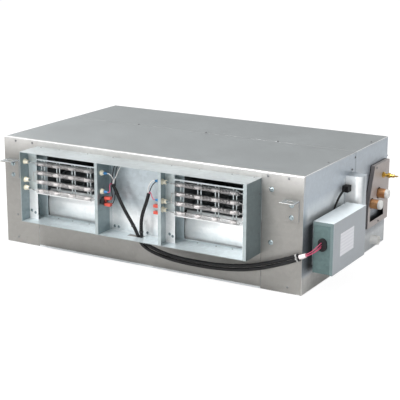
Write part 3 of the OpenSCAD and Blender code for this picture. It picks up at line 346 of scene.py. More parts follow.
# Painted light and shade: a beige front and a grey top on the one zinc sheet.
CASING_LIT_AND_SHADED_SIDES = [(FRONT, PAINTED_FRONT_BEIGE), (TOP, PAINTED_TOP_GREY)]
CASING_PAINTED_LIGHT_AND_SHADE = [
    # Painted light: the front inside the collar is lighter and bluer than outside it.
    (IN_COLLAR, ZINC),
    # Painted highlight along the top of the front.
    (UPPER_FRONT, (0.60, 0.59, 0.575)),
    # Painted light on the foot of the right side, and lower down at its front.
    (SIDE_FOOT, (0.74, 0.77, 0.79)),
    (SIDE_LOW, (0.72, 0.71, 0.69)),
    # Painted reflection on the right side above the control box's lid.
    (OVER_LID, (0.90, 0.95, 0.99)),
]
# Colour of the painted highlight on the casing's folds.
CASING_FOLD_HIGHLIGHT = (0.92, 0.93, 0.94)
# Painted light on the lid's top and painted shade on its front end.
LID_LIT_AND_SHADED_SIDES = [(TOP, (0.80, 0.86, 0.89)), (FRONT, (0.15, 0.205, 0.21))]

ZINCS = {
    "collar_zinc": dict(colour=ZINC, contrast=0.14, roughness=0.34, metallic=0.6, sides=COLLAR_SHADED_SIDES,
                        spots=COLLAR_PAINTED_LIGHT_AND_SHADE),
    # Painted light: the lower part of the heaters' strips is near white.
    "frame_zinc": dict(colour=(0.66, 0.72, 0.735), contrast=0.1, roughness=0.34, metallic=0.5,
                       spots=[(STRIPS, (0.98, 0.99, 1.0))]),
    # Casing: painted light and shade by face and place, a painted highlight on the folds, and painted shade
    # on the right side behind the control box.
    "casing_zinc": dict(colour=STEEL_BLUE, contrast=0.08, roughness=0.42, metallic=0.6, sides=CASING_LIT_AND_SHADED_SIDES,
                        spots=CASING_PAINTED_LIGHT_AND_SHADE, edges=CASING_FOLD_HIGHLIGHT, shaded=RIGHT),
    "side_zinc": dict(colour=(0.60, 0.64, 0.68), contrast=0.10, roughness=0.36),
    # Painted light: the cover's front faces are much lighter than its other faces.
    "cover_zinc": dict(colour=(0.50, 0.54, 0.57), contrast=0.08, roughness=0.36, metallic=0.5,
                       sides=[(FRONT, (0.92, 0.94, 0.95))]),
    "lid_zinc": dict(colour=(0.43, 0.46, 0.49), contrast=0.05, roughness=0.45, metallic=0.4, sides=LID_LIT_AND_SHADED_SIDES),
    # Painted light and shade: a light top over dark teal ends and sides.
    "box_zinc": dict(colour=(0.10, 0.155, 0.155), contrast=0.2, roughness=0.42, metallic=0.4,
                     sides=[(TOP, (0.8, 0.84, 0.86))]),
    # Painted shade on the plate's front edges.
    "plate_zinc": dict(colour=(0.50, 0.455, 0.44), contrast=0.07, roughness=0.5, metallic=0.5,
                       sides=[(FRONT, (0.19, 0.175, 0.175))]),
    # Painted highlight: the hem is much lighter than the front panel beside it.
    "hem_zinc": dict(colour=(0.86, 0.89, 0.91), contrast=0.08, roughness=0.34, metallic=0.5),
    # Painted shade: the scroll's upper part, in the throat, is dark.
    "scroll_zinc": dict(colour=(0.92, 0.96, 0.97), contrast=0.07, roughness=0.36, metallic=0.6,
                        spots=[(THROAT, (0.17, 0.18, 0.185))]),
    # Painted shade: this zinc is darker than the rest, for the wheels inside the scrolls; the coil's end
    # plates share it.
    "inner_zinc": dict(colour=(0.36, 0.38, 0.39), contrast=0.10, roughness=0.3, metallic=0.9),
}
METALS = {
    "fins": dict(colour=(0.62, 0.64, 0.66), roughness=0.35, contrast=0.1),
    "steel": dict(colour=(0.55, 0.55, 0.55), roughness=0.28),
    "wire": dict(colour=(0.70, 0.675, 0.67), roughness=0.36, contrast=0.2),
    "bolt_zinc": dict(colour=(0.34, 0.40, 0.42), roughness=0.25, contrast=0.2),
    # Painted shade: the small sheet-metal screws get a dark zinc.
    "screw_zinc": dict(colour=(0.26, 0.265, 0.27), roughness=0.4, contrast=0.25),
    "copper": dict(colour=(0.66, 0.35, 0.17), roughness=0.42, contrast=0.3, stretch=(90.0, 20.0, 20.0),
                   metallic=0.8),
    "brass": dict(colour=(0.66, 0.43, 0.10), roughness=0.28, contrast=0.15),
}
MOULDINGS = {
    "motor_paint": dict(colour=(0.05, 0.052, 0.056), roughness=0.45, contrast=0.25),
    "ceramic": dict(colour=(0.80, 0.755, 0.62), roughness=0.45, contrast=0.12),
    "bead": dict(colour=(0.60, 0.575, 0.57), roughness=0.45, contrast=0.1),
    "blue": dict(colour=(0.02, 0.17, 0.38), roughness=0.3),
    "red": dict(colour=(0.55, 0.075, 0.05), roughness=0.35),
    "black_plastic": dict(colour=(0.02, 0.02, 0.021), roughness=0.45, contrast=0.2),
    "white_plastic": dict(colour=(0.80, 0.80, 0.78), roughness=0.35, contrast=0.05),
    "tie": dict(colour=(0.36, 0.36, 0.35), roughness=0.4, contrast=0.05),
    "connector": dict(colour=(0.76, 0.69, 0.69), roughness=0.4, contrast=0.12),
    "spigot": dict(colour=(0.97, 0.97, 0.95), roughness=0.35, contrast=0.03),
    "foam": dict(colour=(0.025, 0.025, 0.027), roughness=0.85, contrast=0.3, grain=900, depth=0.0004),
    "rubber": dict(colour=(0.014, 0.014, 0.015), roughness=0.55, contrast=0.25, gloss=0.2),
    "sleeve": dict(colour=(0.013, 0.013, 0.014), roughness=0.42, contrast=0.3, grain=1000, depth=0.0002,
                   gloss=0.22),
    "pink": dict(colour=(0.50, 0.075, 0.15), roughness=0.35),
    "white_lead": dict(colour=(0.80, 0.78, 0.76), roughness=0.35),
}
PAPERS = {"label": dict(ink=(0.74, 0.75, 0.80), paper=(0.84, 0.85, 0.89))}
MATERIALS = {}
for make, recipes in ((galvanised, ZINCS), (drawn_metal, METALS), (moulded, MOULDINGS),
                      (label_paper, PAPERS)):
    for name, recipe in recipes.items():
        MATERIALS[name] = make(name, **recipe)

LOOKS = {
    "collar_zinc": ["discharge_collar", "left_partition", "right_partition", "bay_back_plate"],
    "frame_zinc": ["left_heater_frame", "right_heater_frame"],
    "casing_zinc": ["front_panel", "left_end_panel", "right_end_panel", "left_coil_panel", "right_coil_panel",
                    "bottom_panel", "hanger_brackets", "front_top_panel", "rear_top_panel", "return_frame"],
    "side_zinc": ["drain_pan", "motor_cradle", "box_brackets"],
    "cover_zinc": ["capacitor_cover"],
    "lid_zinc": ["control_lid"],
    "box_zinc": ["control_box"],
    "plate_zinc": ["pipe_plate"],
    "scroll_zinc": ["left_scroll", "right_scroll"],
    "inner_zinc": ["left_wheel", "right_wheel", "coil_end_plates"],
    "fins": ["coil_fins"],
    "steel": ["motor_shaft", "heater_leads"],
    "wire": ["left_heater_coil", "right_heater_coil"],
    "bolt_zinc": ["bracket_bolts"],
    "motor_paint": ["motor"],
    "copper": ["coil_tubes", "coil_bends", "supply_header", "return_header"],
    "brass": ["vent_body", "vent_key"],
    "ceramic": ["terminal_bushings"],
    "bead": ["insulators"],
    "blue": ["spade_terminals"],
    "red": ["thermostat_boots", "left_reset_button", "right_reset_button"],
    "black_plastic": ["thermostats", "heater_contactor"],
    "spigot": ["drain_spigot"],
    "white_plastic": ["pipe_plugs", "terminal_block", "capacitor"],
    "connector": ["cable_connector"],
    "foam": ["plate_seal"],
    "rubber": ["cable_grommet", "capacitor_lead"],
    "sleeve": ["left_heater_cable", "right_heater_cable"],
    "pink": ["cable_leads"],
}


def paint(obj, look):
    """Gives a piece one material."""
    obj.data.materials.clear()
    obj.data.materials.append(MATERIALS[look])


WELD_REACH = 1e-5
EDGE_WIDTH = 0.0005
EDGE_ANGLE = math.radians(35)


def soften(obj):
    """Small rounded edges, which catch the light as folded sheet does."""
    weld = obj.modifiers.new("weld", "WELD")
    weld.merge_threshold = WELD_REACH
    bevel = obj.modifiers.new("edges", "BEVEL")
    bevel.width = EDGE_WIDTH
    bevel.segments = 2
    bevel.limit_method = "ANGLE"
    bevel.angle_limit = EDGE_ANGLE
    bevel.harden_normals = True


def dress_frame():
    """Puts a material on every CAD node and softens the zinc-coated ones."""
    for look, names in LOOKS.items():
        for name in names:
            paint(nodes[name], look)
            if look.endswith("zinc"):
                soften(nodes[name])


# Ways to make pieces


def piece(name, mesh_or_curve, look):
    """Links a new piece, paints it and lets it ride on the casing."""
    obj = bpy.data.objects.new(name, mesh_or_curve)
    bpy.context.scene.collection.objects.link(obj)
    paint(obj, look)
    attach(obj, "root")
    return obj


def mesh_from(made, name):
    """Mesh from a bmesh, with smooth faces where they meet gently."""
    mesh = bpy.data.meshes.new(name)
    bmesh.ops.recalc_face_normals(made, faces=made.faces)
    for face in made.faces:
        face.smooth = True
    for edge in made.edges:
        edge.smooth = len(edge.link_faces) == 2 and edge.calc_face_angle(0) < EDGE_ANGLE
    made.to_mesh(mesh)
    made.free()
    return mesh


def block(made, low, high):
    """Adds a box to a bmesh, in millimetres."""
    corners = [made.verts.new(Vector(p) * MM) for p in itertools.product(*zip(low, high))]
    for quad in ((0, 1, 3, 2), (4, 6, 7, 5), (0, 4, 5, 1), (2, 3, 7, 6), (0, 2, 6, 4), (1, 5, 7, 3)):
        made.faces.new([corners[i] for i in quad])


def turned(made, profile, at, axis, steps=20):
    """Adds a turned shape to a bmesh: (radius, height) pairs from a point along an axis, in millimetres."""
    turn = Vector(axis).to_track_quat("Z", "Y").to_matrix()
    angles = [2 * math.pi * k / steps for k in range(steps)]
    rings = []
    for radius, height in profile:
        spots = [Vector((radius * math.cos(a), radius * math.sin(a), height)) for a in angles]
        rings.append([made.verts.new((Vector(at) + turn @ spot) * MM) for spot in spots])
    for lower, upper in zip(rings, rings[1:]):
        for k in range(steps):
            j = (k + 1) % steps
            made.faces.new((lower[k], lower[j], upper[j], upper[k]))
    made.faces.new(list(reversed(rings[0])))
    made.faces.new(rings[-1])


WASHER = ((0.78, 0), (0.78, 0.08), (0.6, 0.16))
HEX_HEAD = ((0.55, 0.14), (0.55, 0.5), (0.45, 0.58))
RIVET_DOME = ((2.2, 0), (2.0, 0.6), (1.4, 1.1), (0.6, 1.35))


def hex_screw(made, at, axis, flats):
    """Adds a hexagon head on its own washer, both in proportion to the width of its flats."""
    for shape, steps in ((WASHER, 20), (HEX_HEAD, 6)):
        turned(made, [(radius * flats, height * flats) for radius, height in shape], at, axis, steps)


def rivet(made, at, axis):
    """Adds a low domed rivet head."""
    turned(made, RIVET_DOME, at, axis, steps=12)


def tube(name, points, diameter):
    """Round curve that runs smoothly through points, in metres."""
    curve = bpy.data.curves.new(name, "CURVE")
    curve.dimensions = "3D"
    curve.bevel_depth = diameter / 2
    curve.bevel_resolution = 3
    curve.resolution_u = 5
    curve.use_fill_caps = True
    spline = curve.splines.new("BEZIER")
    spline.bezier_points.add(len(points) - 1)
    for spot, point in zip(spline.bezier_points, points):
        spot.co = point
        spot.handle_left_type = "AUTO"
        spot.handle_right_type = "AUTO"
    return curve


# Cords: the routes are those of the solids, in millimetres

CABLE_D = 10
LEAD_D = 2.6
CAPACITOR_LEAD_D = 3
LEFT_CABLE = [
    (-74, -345, 245), (-62, -346, 224), (-50, -347, 203), (-38, -347, 182), (-25, -346, 161),
    (-12, -344, 140), (-1, -342, 120), (7, -340, 101), (16.5, -340, 83.5), (34, -339, 70.5), (55, -338, 62),
    (78, -337, 56), (102, -336, 51.5), (126, -335, 48.5), (150, -334, 46.5), (174, -333, 45.5),
    (198, -332, 45), (222, -331, 45), (246, -330, 45.5), (270, -329, 47), (294, -328, 49),
    (318, -327, 52), (342, -326, 56), (365, -325, 61), (388, -324, 67), (410, -323, 74), (432, -322, 82),
    (454, -321, 90), (478, -319.8, 99.7), (502, -317.6, 109.5),
]
RIGHT_CABLE = [
    (46, -345, 234), (41, -346, 214), (34, -347, 194), (27, -347, 174), (22, -346, 154),
    (19.5, -344, 134), (18.5, -342, 116), (20, -341, 100), (28, -340, 88.5), (40, -339, 80.5),
    (58, -338, 73.5), (78, -337, 67.5), (102, -336, 62.5), (126, -335, 59.5), (150, -334, 57.5),
    (174, -333, 56.5), (198, -332, 56), (222, -331, 56), (246, -330, 56.5), (270, -329, 58),
    (294, -328, 60), (318, -327, 63), (342, -326, 67), (365, -325, 72), (388, -324, 78.5),
    (410, -323, 85.5), (432, -322, 93.5), (454, -321, 101.5), (476, -320, 110.5), (498, -318, 119.5),
]
LEADS = [
    ("left_upper_lead", "white_lead", [
        (-72.8, -346.1, 247), (-70, -349, 258), (-69, -356, 268), (-71, -362, 276), (-75, -364, 279.5),
        (-79.2, -364, 279.5)]),
    ("left_lower_lead", "pink", [
        (-76.2, -346.1, 245), (-78, -350, 248), (-77, -357, 241), (-73, -362, 231), (-75, -364, 225),
        (-79.2, -364, 225)]),
    ("left_inner_lead", "white_lead", [
        (-74.5, -342.8, 246), (-72, -341, 256), (-67, -338, 269), (-64, -332, 282), (-63, -321, 292),
        (-63, -313.6, 293)]),
    ("left_limit_lead_1", "sleeve", [
        (-77, -351.6, 206), (-77, -345, 206.5), (-82, -339, 214), (-86, -334, 232), (-87, -329, 255),
        (-86, -325, 277), (-83.5, -321, 291.5), (-83, -313.6, 293)]),
    ("left_limit_lead_2", "sleeve", [
        (-77, -351.6, 187), (-77, -344, 187.5), (-76, -337, 195), (-76, -332, 214), (-77, -328, 240),
        (-77, -325, 270), (-74.5, -321, 291.5), (-74, -313.6, 292.5)]),
    ("right_upper_lead", "white_lead", [
        (44.4, -346.1, 235.7), (47, -350, 248), (56, -357, 263), (67, -362, 275), (75, -364, 279.5),
        (79.2, -364, 279.5)]),
    ("right_lower_lead", "pink", [
        (48.1, -346.1, 234.7), (54, -350, 240), (62, -357, 237), (69, -362, 229), (75, -364, 225),
        (79.2, -364, 225)]),
    ("right_limit_lead_1", "sleeve", [
        (46.3, -342.8, 235.2), (50, -341, 247), (59, -341, 262), (71, -339, 270), (82, -336, 263),
        (86, -335, 244), (84, -338, 222), (78, -345, 207), (77, -351.6, 206)]),
    ("right_limit_lead_2", "sleeve", [
        (77, -351.6, 187), (77, -344, 187.5), (80, -337, 195), (84, -331, 214), (87, -327, 240),
        (87, -325, 272), (83.5, -321, 291), (83, -313.6, 292.5)]),
    ("box_lead_1", "pink", [
        (517.3, -316.2, 124.9), (522, -315.8, 126.8), (533, -302, 135), (540, -284, 145),
        (541, -271.4, 148)]),
    ("box_lead_2", "pink", [
        (519.1, -318.6, 120.8), (523.7, -318.2, 122.7), (534, -303, 129), (541, -284, 139),
        (542, -271.4, 142)]),
    ("box_lead_3", "pink", [
        (518.7, -313.5, 120.8), (523.3, -313.1, 122.7), (532, -300, 126), (540, -283, 133),
        (541, -271.4, 136)]),
]
CAPACITOR_LEADS = [
    ("capacitor_lead_1", [
        (509, -45.4, 243), (509, -52, 242.5), (508, -66, 237), (507, -84, 227), (507, -101, 214),
        (507, -113, 203), (508, -120, 193), (511, -124, 187), (514.6, -125, 186)]),
    ("capacitor_lead_2", [
        (509, -45.4, 238), (509, -51, 237.5), (508, -64, 232), (507, -81, 222), (507, -97, 209),
        (507, -108, 198), (508, -114, 188), (511, -118, 182), (514.6, -119, 181)]),
]
TIE_BAND = ((5.2, -2.2), (5.9, -2.0), (5.9, 2.0), (5.2, 2.2))
END_TIE_RUN = (22, 2, 9)
END_TIE_TURNS = [((495, -318.2, 106.6), END_TIE_RUN), ((491, -318.6, 116.6), END_TIE_RUN)]
END_TIE_TAIL = ((491, -326, 108), (495, -321, 114))
LEFT_TIE_TURNS = [((-8, -343.3, 132.5), (11, 2, -20))]
LEFT_TIE_TAIL = ((-7, -351, 131), (-1, -348, 134))
RIGHT_TIE_TURNS = [((18.6, -342.2, 118), (-1, 2, -18))]
RIGHT_TIE_TAIL = ((17, -351, 117), (23, -346.5, 120))


def cable_tie(name, look, turns, tail):
    """Tie strap: a band round each cable it holds and the cut tail that stands off its lock."""
    made = bmesh.new()
    for at, way in turns:
        turned(made, TIE_BAND, at, way, steps=16)
    block(made, *tail)
    return piece(name, mesh_from(made, name), look)


def lay_cord(name, route, diameter, look, node):
    """One cord along its route, in place of its solid."""
    points = [Vector(p) * MM for p in route]
    cord = piece(name, tube(name, points, diameter * MM), look)
    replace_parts(cord, node)


def lay_cords():
    """The two sleeved heater cables with their ties, the single leads and the capacitor's pair."""
    end_tie = cable_tie("end_tie", "tie", END_TIE_TURNS, END_TIE_TAIL)
    left_tie = cable_tie("left_tie", "black_plastic", LEFT_TIE_TURNS, LEFT_TIE_TAIL)
    right_tie = cable_tie("right_tie", "black_plastic", RIGHT_TIE_TURNS, RIGHT_TIE_TAIL)
    lay_cord("left_cable", LEFT_CABLE, CABLE_D, "sleeve", "left_heater_cable")
    lay_cord("right_cable", RIGHT_CABLE, CABLE_D, "sleeve", "right_heater_cable")
    for name, look, route in LEADS:
        lay_cord(name, route, LEAD_D, look, "cable_leads")
    for name, route in CAPACITOR_LEADS:
        lay_cord(name, route, CAPACITOR_LEAD_D, "rubber", "capacitor_lead")


# Heater coils: fine wound wire in place of the coarse solids

ROW_TOP = 275.5
ROW_PITCH = 27.3
COIL_ROWS = [ROW_TOP - ROW_PITCH * k for k in range(4)]
COIL_AXIS_Y = -355
COIL_MIDDLE_X = 237.75
COIL_SPAN = 206
COIL_OD = 14
COIL_WIRE = 1.5
COIL_PITCH = 4.4
COIL_STEPS = 12


def wound_rows(side):
    """One curve with a helix for each row of a heater, whose ends run in to the helix's axis."""
    curve = bpy.data.curves.new("heater_wire", "CURVE")
    curve.dimensions = "3D"
    curve.bevel_depth = COIL_WIRE / 2 * MM
    curve.bevel_resolution = 1
    count = int(COIL_SPAN / COIL_PITCH * COIL_STEPS)
    reach = (COIL_OD - COIL_WIRE) / 2
    for z in COIL_ROWS:
        spline = curve.splines.new("POLY")
        spline.points.add(count)
        for i, spot in enumerate(spline.points):
            turn = 2 * math.pi * i / COIL_STEPS
            out = reach * min(1, i / COIL_STEPS, (count - i) / COIL_STEPS)
            x = side * (COIL_MIDDLE_X + (i / count - 0.5) * COIL_SPAN)
            at = Vector((x, COIL_AXIS_Y + out * math.cos(turn), z + out * math.sin(turn))) * MM
            spot.co = (*at, 1)
    return curve


def wind_heaters():
    """Both heaters' wires."""
    for side, word in ((-1, "left"), (1, "right")):
        wire = piece(f"{word}_wire", wound_rows(side), "wire")
        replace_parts(wire, f"{word}_heater_coil")


# Collar around the outlets

COLLAR_LOW, COLLAR_HIGH = corners_mm("discharge_collar")
SHEET = 1.2
LIP = 10
CABLE_SLOT_X = (-25, 25)
CABLE_SLOT_Y = (-350, -330)


def fold_collar():
    """Folded collar: four walls, a slot for the cables in its floor and a lip on its right end."""
    made = bmesh.new()
    left, front, low = COLLAR_LOW
    right, back, high = COLLAR_HIGH
    slot_left, slot_right = CABLE_SLOT_X
    slot_front, slot_back = CABLE_SLOT_Y
    block(made, (left, front, high - SHEET), (right, back, high))
    for x0, x1, y0, y1 in ((left, right, front, slot_front),
                           (left, right, slot_back, back),
                           (left, slot_left, slot_front, slot_back),
                           (slot_right, right, slot_front, slot_back)):
        block(made, (x0, y0, low), (x1, y1, low + SHEET))
    for x in (left, right - SHEET):
        block(made, (x, front, low + SHEET), (x + SHEET, back, high - SHEET))
    block(made, (right - LIP, front, low + SHEET), (right - SHEET, front + SHEET, high - SHEET))
    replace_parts(piece("folded_collar", mesh_from(made, "folded_collar"), "collar_zinc"),
                "discharge_collar")


# Ceramic buttons on the heaters' rods

COLUMN_PITCH = 54.8
COLUMNS = [COIL_MIDDLE_X + COLUMN_PITCH * k for k in (-1.5, -0.5, 0.5, 1.5)]
HALF_BUTTON = [(9.0, 0.4), (10.4, 1.0), (10.4, 2.2), (9.3, 3.2), (6.5, 3.6)]
BUTTON = [(radius, -height) for radius, height in reversed(HALF_BUTTON)] + HALF_BUTTON
BUTTON_BACK = 1
FOOT_HALF_X = 7
FOOT_HALF_Z = 2.4
FOOT_Y = (COIL_AXIS_Y + 2, COIL_AXIS_Y + 11)
STANDOFF_FROM_MIDDLE = (109.05, 121.05)
STANDOFF_Y = (-356, -346)
STANDOFF_Z = (202.25, 212.25)


def fit_buttons():
    """Flat grooved buttons that carry the wire, and the two square standoffs."""
    made = bmesh.new()
    for side in (-1, 1):
        for x, z in itertools.product(COLUMNS, COIL_ROWS):
            turned(made, BUTTON, (side * x, COIL_AXIS_Y + BUTTON_BACK, z), TOP)
            block(made, (side * x - FOOT_HALF_X, FOOT_Y[0], z - FOOT_HALF_Z),
                  (side * x + FOOT_HALF_X, FOOT_Y[1], z + FOOT_HALF_Z))
        x0, x1 = [side * COIL_MIDDLE_X + offset for offset in STANDOFF_FROM_MIDDLE]
        block(made, (x0, STANDOFF_Y[0], STANDOFF_Z[0]), (x1, STANDOFF_Y[1], STANDOFF_Z[1]))
    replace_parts(piece("heater_buttons", mesh_from(made, "heater_buttons"), "bead"), "insulators")


# Screws, bolts and rivets


def both_sides(pairs):
    """Pairs of x and another value, mirrored to the left side and as they are."""
    return [(side * x, other) for side in (-1, 1) for x, other in pairs]


CASING_FRONT_Y = corners_mm("front_panel")[0].y
CASING_TOP_Z = corners_mm("front_top_panel")[1].z
BAY_PLATE_FRONT_Y = corners_mm("bay_back_plate")[0].y
PANEL_FLATS = 4.5
COLLAR_FLATS = 5.5
BOLT_FLATS = 9
PANEL_SCREWS = both_sides([(394, 320), (456, 320), (458, 89.5), (458, 18)])
SEAM_SCREWS = [(-246, 57), (0, 57), (246, 57), (488, -119), (488, 193)]
SIDE_SCREWS = [(500, 43, 315), (500, 23, 283), (515, 178, 258), (515, 206, 88)]
STRIP_FRONT_Y = -346
STRIP_SCREWS = both_sides([(115, 127), (125, 122), (353, 122), (366, 127)])
BAY_SCREWS = [(-91, 111.5), (-77, 111), (21, 107.5), (86, 111.5)]
CORNER_BOLTS = both_sides([(406, 136), (406, 284)])
HANGER_BOLTS = both_sides([(467, 215), (467, 248.5)])
HANGER_FACE_Y = 303
ROOF_RIVETS_X = (98, 187, 289, 356)
ROOF_RIVETS_Y = -307
FLOOR_RIVETS_X = (184, 244, 295)
FLOOR_RIVETS_Y = -311
WALL_RIVETS_Y = -310.5
WALL_RIVETS_Z = (159, 214, 269.5)


def rivet_collar(made):
    """Rivets along the collar's rear edge: on its roof, its floor and both walls."""
    for side in (-1, 1):
        for x in ROOF_RIVETS_X:
            rivet(made, (side * x, ROOF_RIVETS_Y, COLLAR_HIGH.z), TOP)
        for x in FLOOR_RIVETS_X:
            rivet(made, (side * x, FLOOR_RIVETS_Y, COLLAR_LOW.z + SHEET), TOP)
        for z in WALL_RIVETS_Z:
            rivet(made, (side * COLLAR_HIGH.x, WALL_RIVETS_Y, z), (side, 0, 0))


def fit_panel_screws():
    """Sheet-metal screws of the casing and the collar's rivets."""
    made = bmesh.new()
    for x, z in PANEL_SCREWS:
        hex_screw(made, (x, CASING_FRONT_Y, z), FRONT, PANEL_FLATS)
    for x, y in SEAM_SCREWS:
        hex_screw(made, (x, y, CASING_TOP_Z), TOP, PANEL_FLATS)
    for at in SIDE_SCREWS:
        hex_screw(made, at, RIGHT, PANEL_FLATS)
    rivet_collar(made)
    piece("panel_screws", mesh_from(made, "panel_screws"), "screw_zinc")


def fit_collar_screws():
    """Screws at the foot of the heaters' strips and of the bay's back plate."""
    made = bmesh.new()
    for x, z in STRIP_SCREWS:
        hex_screw(made, (x, STRIP_FRONT_Y, z), FRONT, COLLAR_FLATS)
    for x, z in BAY_SCREWS:
        hex_screw(made, (x, BAY_PLATE_FRONT_Y, z), FRONT, COLLAR_FLATS)
    piece("collar_screws", mesh_from(made, "collar_screws"), "bolt_zinc")


def fit_bolts():
    """Flanged bolts in place of the plain heads beside the collar and on the hanger brackets."""
    made = bmesh.new()
    for x, z in CORNER_BOLTS:
        hex_screw(made, (x, CASING_FRONT_Y, z), FRONT, BOLT_FLATS)
    for x, z in HANGER_BOLTS:
        hex_screw(made, (x, -HANGER_FACE_Y, z), FRONT, BOLT_FLATS)
        hex_screw(made, (x, HANGER_FACE_Y, z), REAR, BOLT_FLATS)
    bolts = piece("flanged_bolts", mesh_from(made, "flanged_bolts"), "bolt_zinc")
    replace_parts(bolts, "bracket_bolts")


# Terminals of the heaters

BUSHING_Y = -364
BUSHING_Z = (279.5, 224.9, 200.6)
SPADE_Z = BUSHING_Z[:2]
NUT_SEATS = ((115.7, 1), (359.8, -1))
NUT = ((3.6, 0), (3.6, 2.6), (3.1, 3))
STUD = ((1.6, 2), (1.6, 6), (1.2, 6.5))
BAY_FACE = corners_mm("spade_terminals")[1].x
SPADE_LEN = 13
SPADE_SLEEVE = ((2.2, 0), (2.7, 0.4), (3.0, 4), (4.2, 6), (4.4, 10.5), (3.9, 11))
TAB_LEN = 5
TAB_HALF_Y = 3.2
TAB_HALF_Z = 0.6


def fit_nuts():
    """Nuts and studs on the heater's side of the bushings."""
    made = bmesh.new()
    for side, z in itertools.product((-1, 1), BUSHING_Z):
        for x, way in NUT_SEATS:
            turned(made, NUT, (side * x, BUSHING_Y, z), (side * way, 0, 0), steps=6)
            turned(made, STUD, (side * x, BUSHING_Y, z), (side * way, 0, 0), steps=10)
    piece("bushing_nuts", mesh_from(made, "bushing_nuts"), "bolt_zinc")


def fit_spades():
    """Spade terminals in the bay: blue sleeves and their metal tabs."""
    sleeves = bmesh.new()
    tabs = bmesh.new()
    for side, z in itertools.product((-1, 1), SPADE_Z):
        turned(sleeves, SPADE_SLEEVE, (side * (BAY_FACE - SPADE_LEN), BUSHING_Y, z), (side, 0, 0))
        x0, x1 = sorted((side * (BAY_FACE - TAB_LEN), side * BAY_FACE))
        block(tabs, (x0, BUSHING_Y - TAB_HALF_Y, z - TAB_HALF_Z),
              (x1, BUSHING_Y + TAB_HALF_Y, z + TAB_HALF_Z))
    for name, made, look, slot in (("spade_sleeves", sleeves, "blue", "blue_plastic"),
                                   ("spade_tabs", tabs, "bolt_zinc", "steel")):
        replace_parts(piece(name, mesh_from(made, name), look), "spade_terminals")


# Transit plugs

PLUG_AXES_YZ = ((148.372, 154.757), (202.298, 176.111))
SOCKET_END_X = corners_mm("supply_header")[1].x
PLUG_SKIRT = [(12.4, -10), (12.4, 0)]
PLUG_RIM = [(14.0, 0.2), (14.2, 5), (13.6, 7.6), (11.8, 9.4), (9.5, 10)]
PLUG_HOLLOW = [(8.8, 9.2), (2, 8.8)]


def fit_plugs():
    """Domed transit plugs in the two copper sockets."""
    made = bmesh.new()
    for y, z in PLUG_AXES_YZ:
        turned(made, PLUG_SKIRT + PLUG_RIM + PLUG_HOLLOW, (SOCKET_END_X, y, z), RIGHT, steps=32)
    plugs = piece("transit_plugs", mesh_from(made, "transit_plugs"), "white_plastic")
    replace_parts(plugs, "pipe_plugs")


# Hem along the foot of the front panel

HEM_X = 376.5
HEM_Y = (CASING_FRONT_Y - 0.9, CASING_FRONT_Y + 0.5)
HEM_H = 5.0
HEM_ROUND = 0.8


def fold_hem():
    """Hem with its front edges rounded."""
    made = bmesh.new()
    block(made, (-HEM_X, HEM_Y[0], 0), (HEM_X, HEM_Y[1], HEM_H))
    fronts = []
    for edge in made.edges:
        first, second = [vert.co * MM_PER_METRE for vert in edge.verts]
        if abs(first.x - second.x) > HEM_X and first.y < CASING_FRONT_Y:
            fronts.append(edge)
    bmesh.ops.bevel(made, geom=fronts, offset=HEM_ROUND * MM, segments=4, affect="EDGES")
    piece("front_hem", mesh_from(made, "front_hem"), "hem_zinc")


# Sticker on the control box

LID_FACE_X = corners_mm("control_lid")[1].x
LABEL_T = 0.15
LABEL_Y = (-219, -126)
LABEL_Z = (101, 165)


def stick_label():
    """Blank sticker on the control box's lid."""
    made = bmesh.new()
    block(made, (LID_FACE_X, LABEL_Y[0], LABEL_Z[0]), (LID_FACE_X + LABEL_T, LABEL_Y[1], LABEL_Z[1]))
    piece("blank_label", mesh_from(made, "blank_label"), "label")


# Fins of the coil

FIN_PITCH = 2.2
FIN_T = 0.25
FIN_HALF_X = 444
FIN_CORNERS = ((-1, -1), (1, -1), (1, 1), (-1, 1))
FINS_LOW, FINS_HIGH = corners_mm("coil_fins")
SLAB_AT = Vector((0, (FINS_LOW.y + FINS_HIGH.y) / 2, (FINS_LOW.z + FINS_HIGH.z) / 2))
SLAB_TILT = math.radians(-22)
SLAB_HALF_LEN = 131
SLAB_HALF_T = 43


def stack_fins():
    """Close-set plate fins in place of the coarse ones."""
    made = bmesh.new()
    across = Vector((0, math.cos(SLAB_TILT), math.sin(SLAB_TILT))) * SLAB_HALF_T
    along = Vector((0, -math.sin(SLAB_TILT), math.cos(SLAB_TILT))) * SLAB_HALF_LEN
    outline = [SLAB_AT + along * u + across * n for u, n in FIN_CORNERS]
    count = int(2 * FIN_HALF_X / FIN_PITCH)
    for i in range(count + 1):
        x = -FIN_HALF_X + i * FIN_PITCH
        near = [made.verts.new((at + Vector((x, 0, 0))) * MM) for at in outline]
        far = [made.verts.new((at + Vector((x + FIN_T, 0, 0))) * MM) for at in outline]
        made.faces.new(near)
        made.faces.new(list(reversed(far)))
        for k in range(4):
            j = (k + 1) % 4
            made.faces.new((near[k], near[j], far[j], far[k]))
    fins = piece("fine_fins", mesh_from(made, "fine_fins"), "fins")
    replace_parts(fins, "coil_fins")


# Stage and light

FLOOR_COLOUR = (0.65, 0.65, 0.65, 1)
FLOOR_ROUGHNESS = 0.9
FLOOR_GLOSS = 0.1
FLOOR_GLOW = 1.18
FLOOR_GLOW_SHARE = 0.8
FLOOR_HALF = 12.0
FLOOR_DROP = 0.0008
WHITE = (1, 1, 1, 1)
WORLD_LEVEL = 0.42
WORLD_TOWARD = (-0.45, -0.3, 0.84)
WORLD_CONTRAST = 0.75
LAMPS_AIM = Vector((0, 0, 0.15))
LAMPS = (
    ("key", (-0.65, -1.75, 3.6), 1.2, 150),
    ("front", (0.1, -3.4, 0.7), 1.8, 34),
    ("fill", (3.0, -1.2, 1.6), 2.4, 16),
    ("top", (0.2, 0.8, 3.2), 2.6, 15),
    ("left", (-2.8, 1.0, 1.7), 2.0, 30),
)


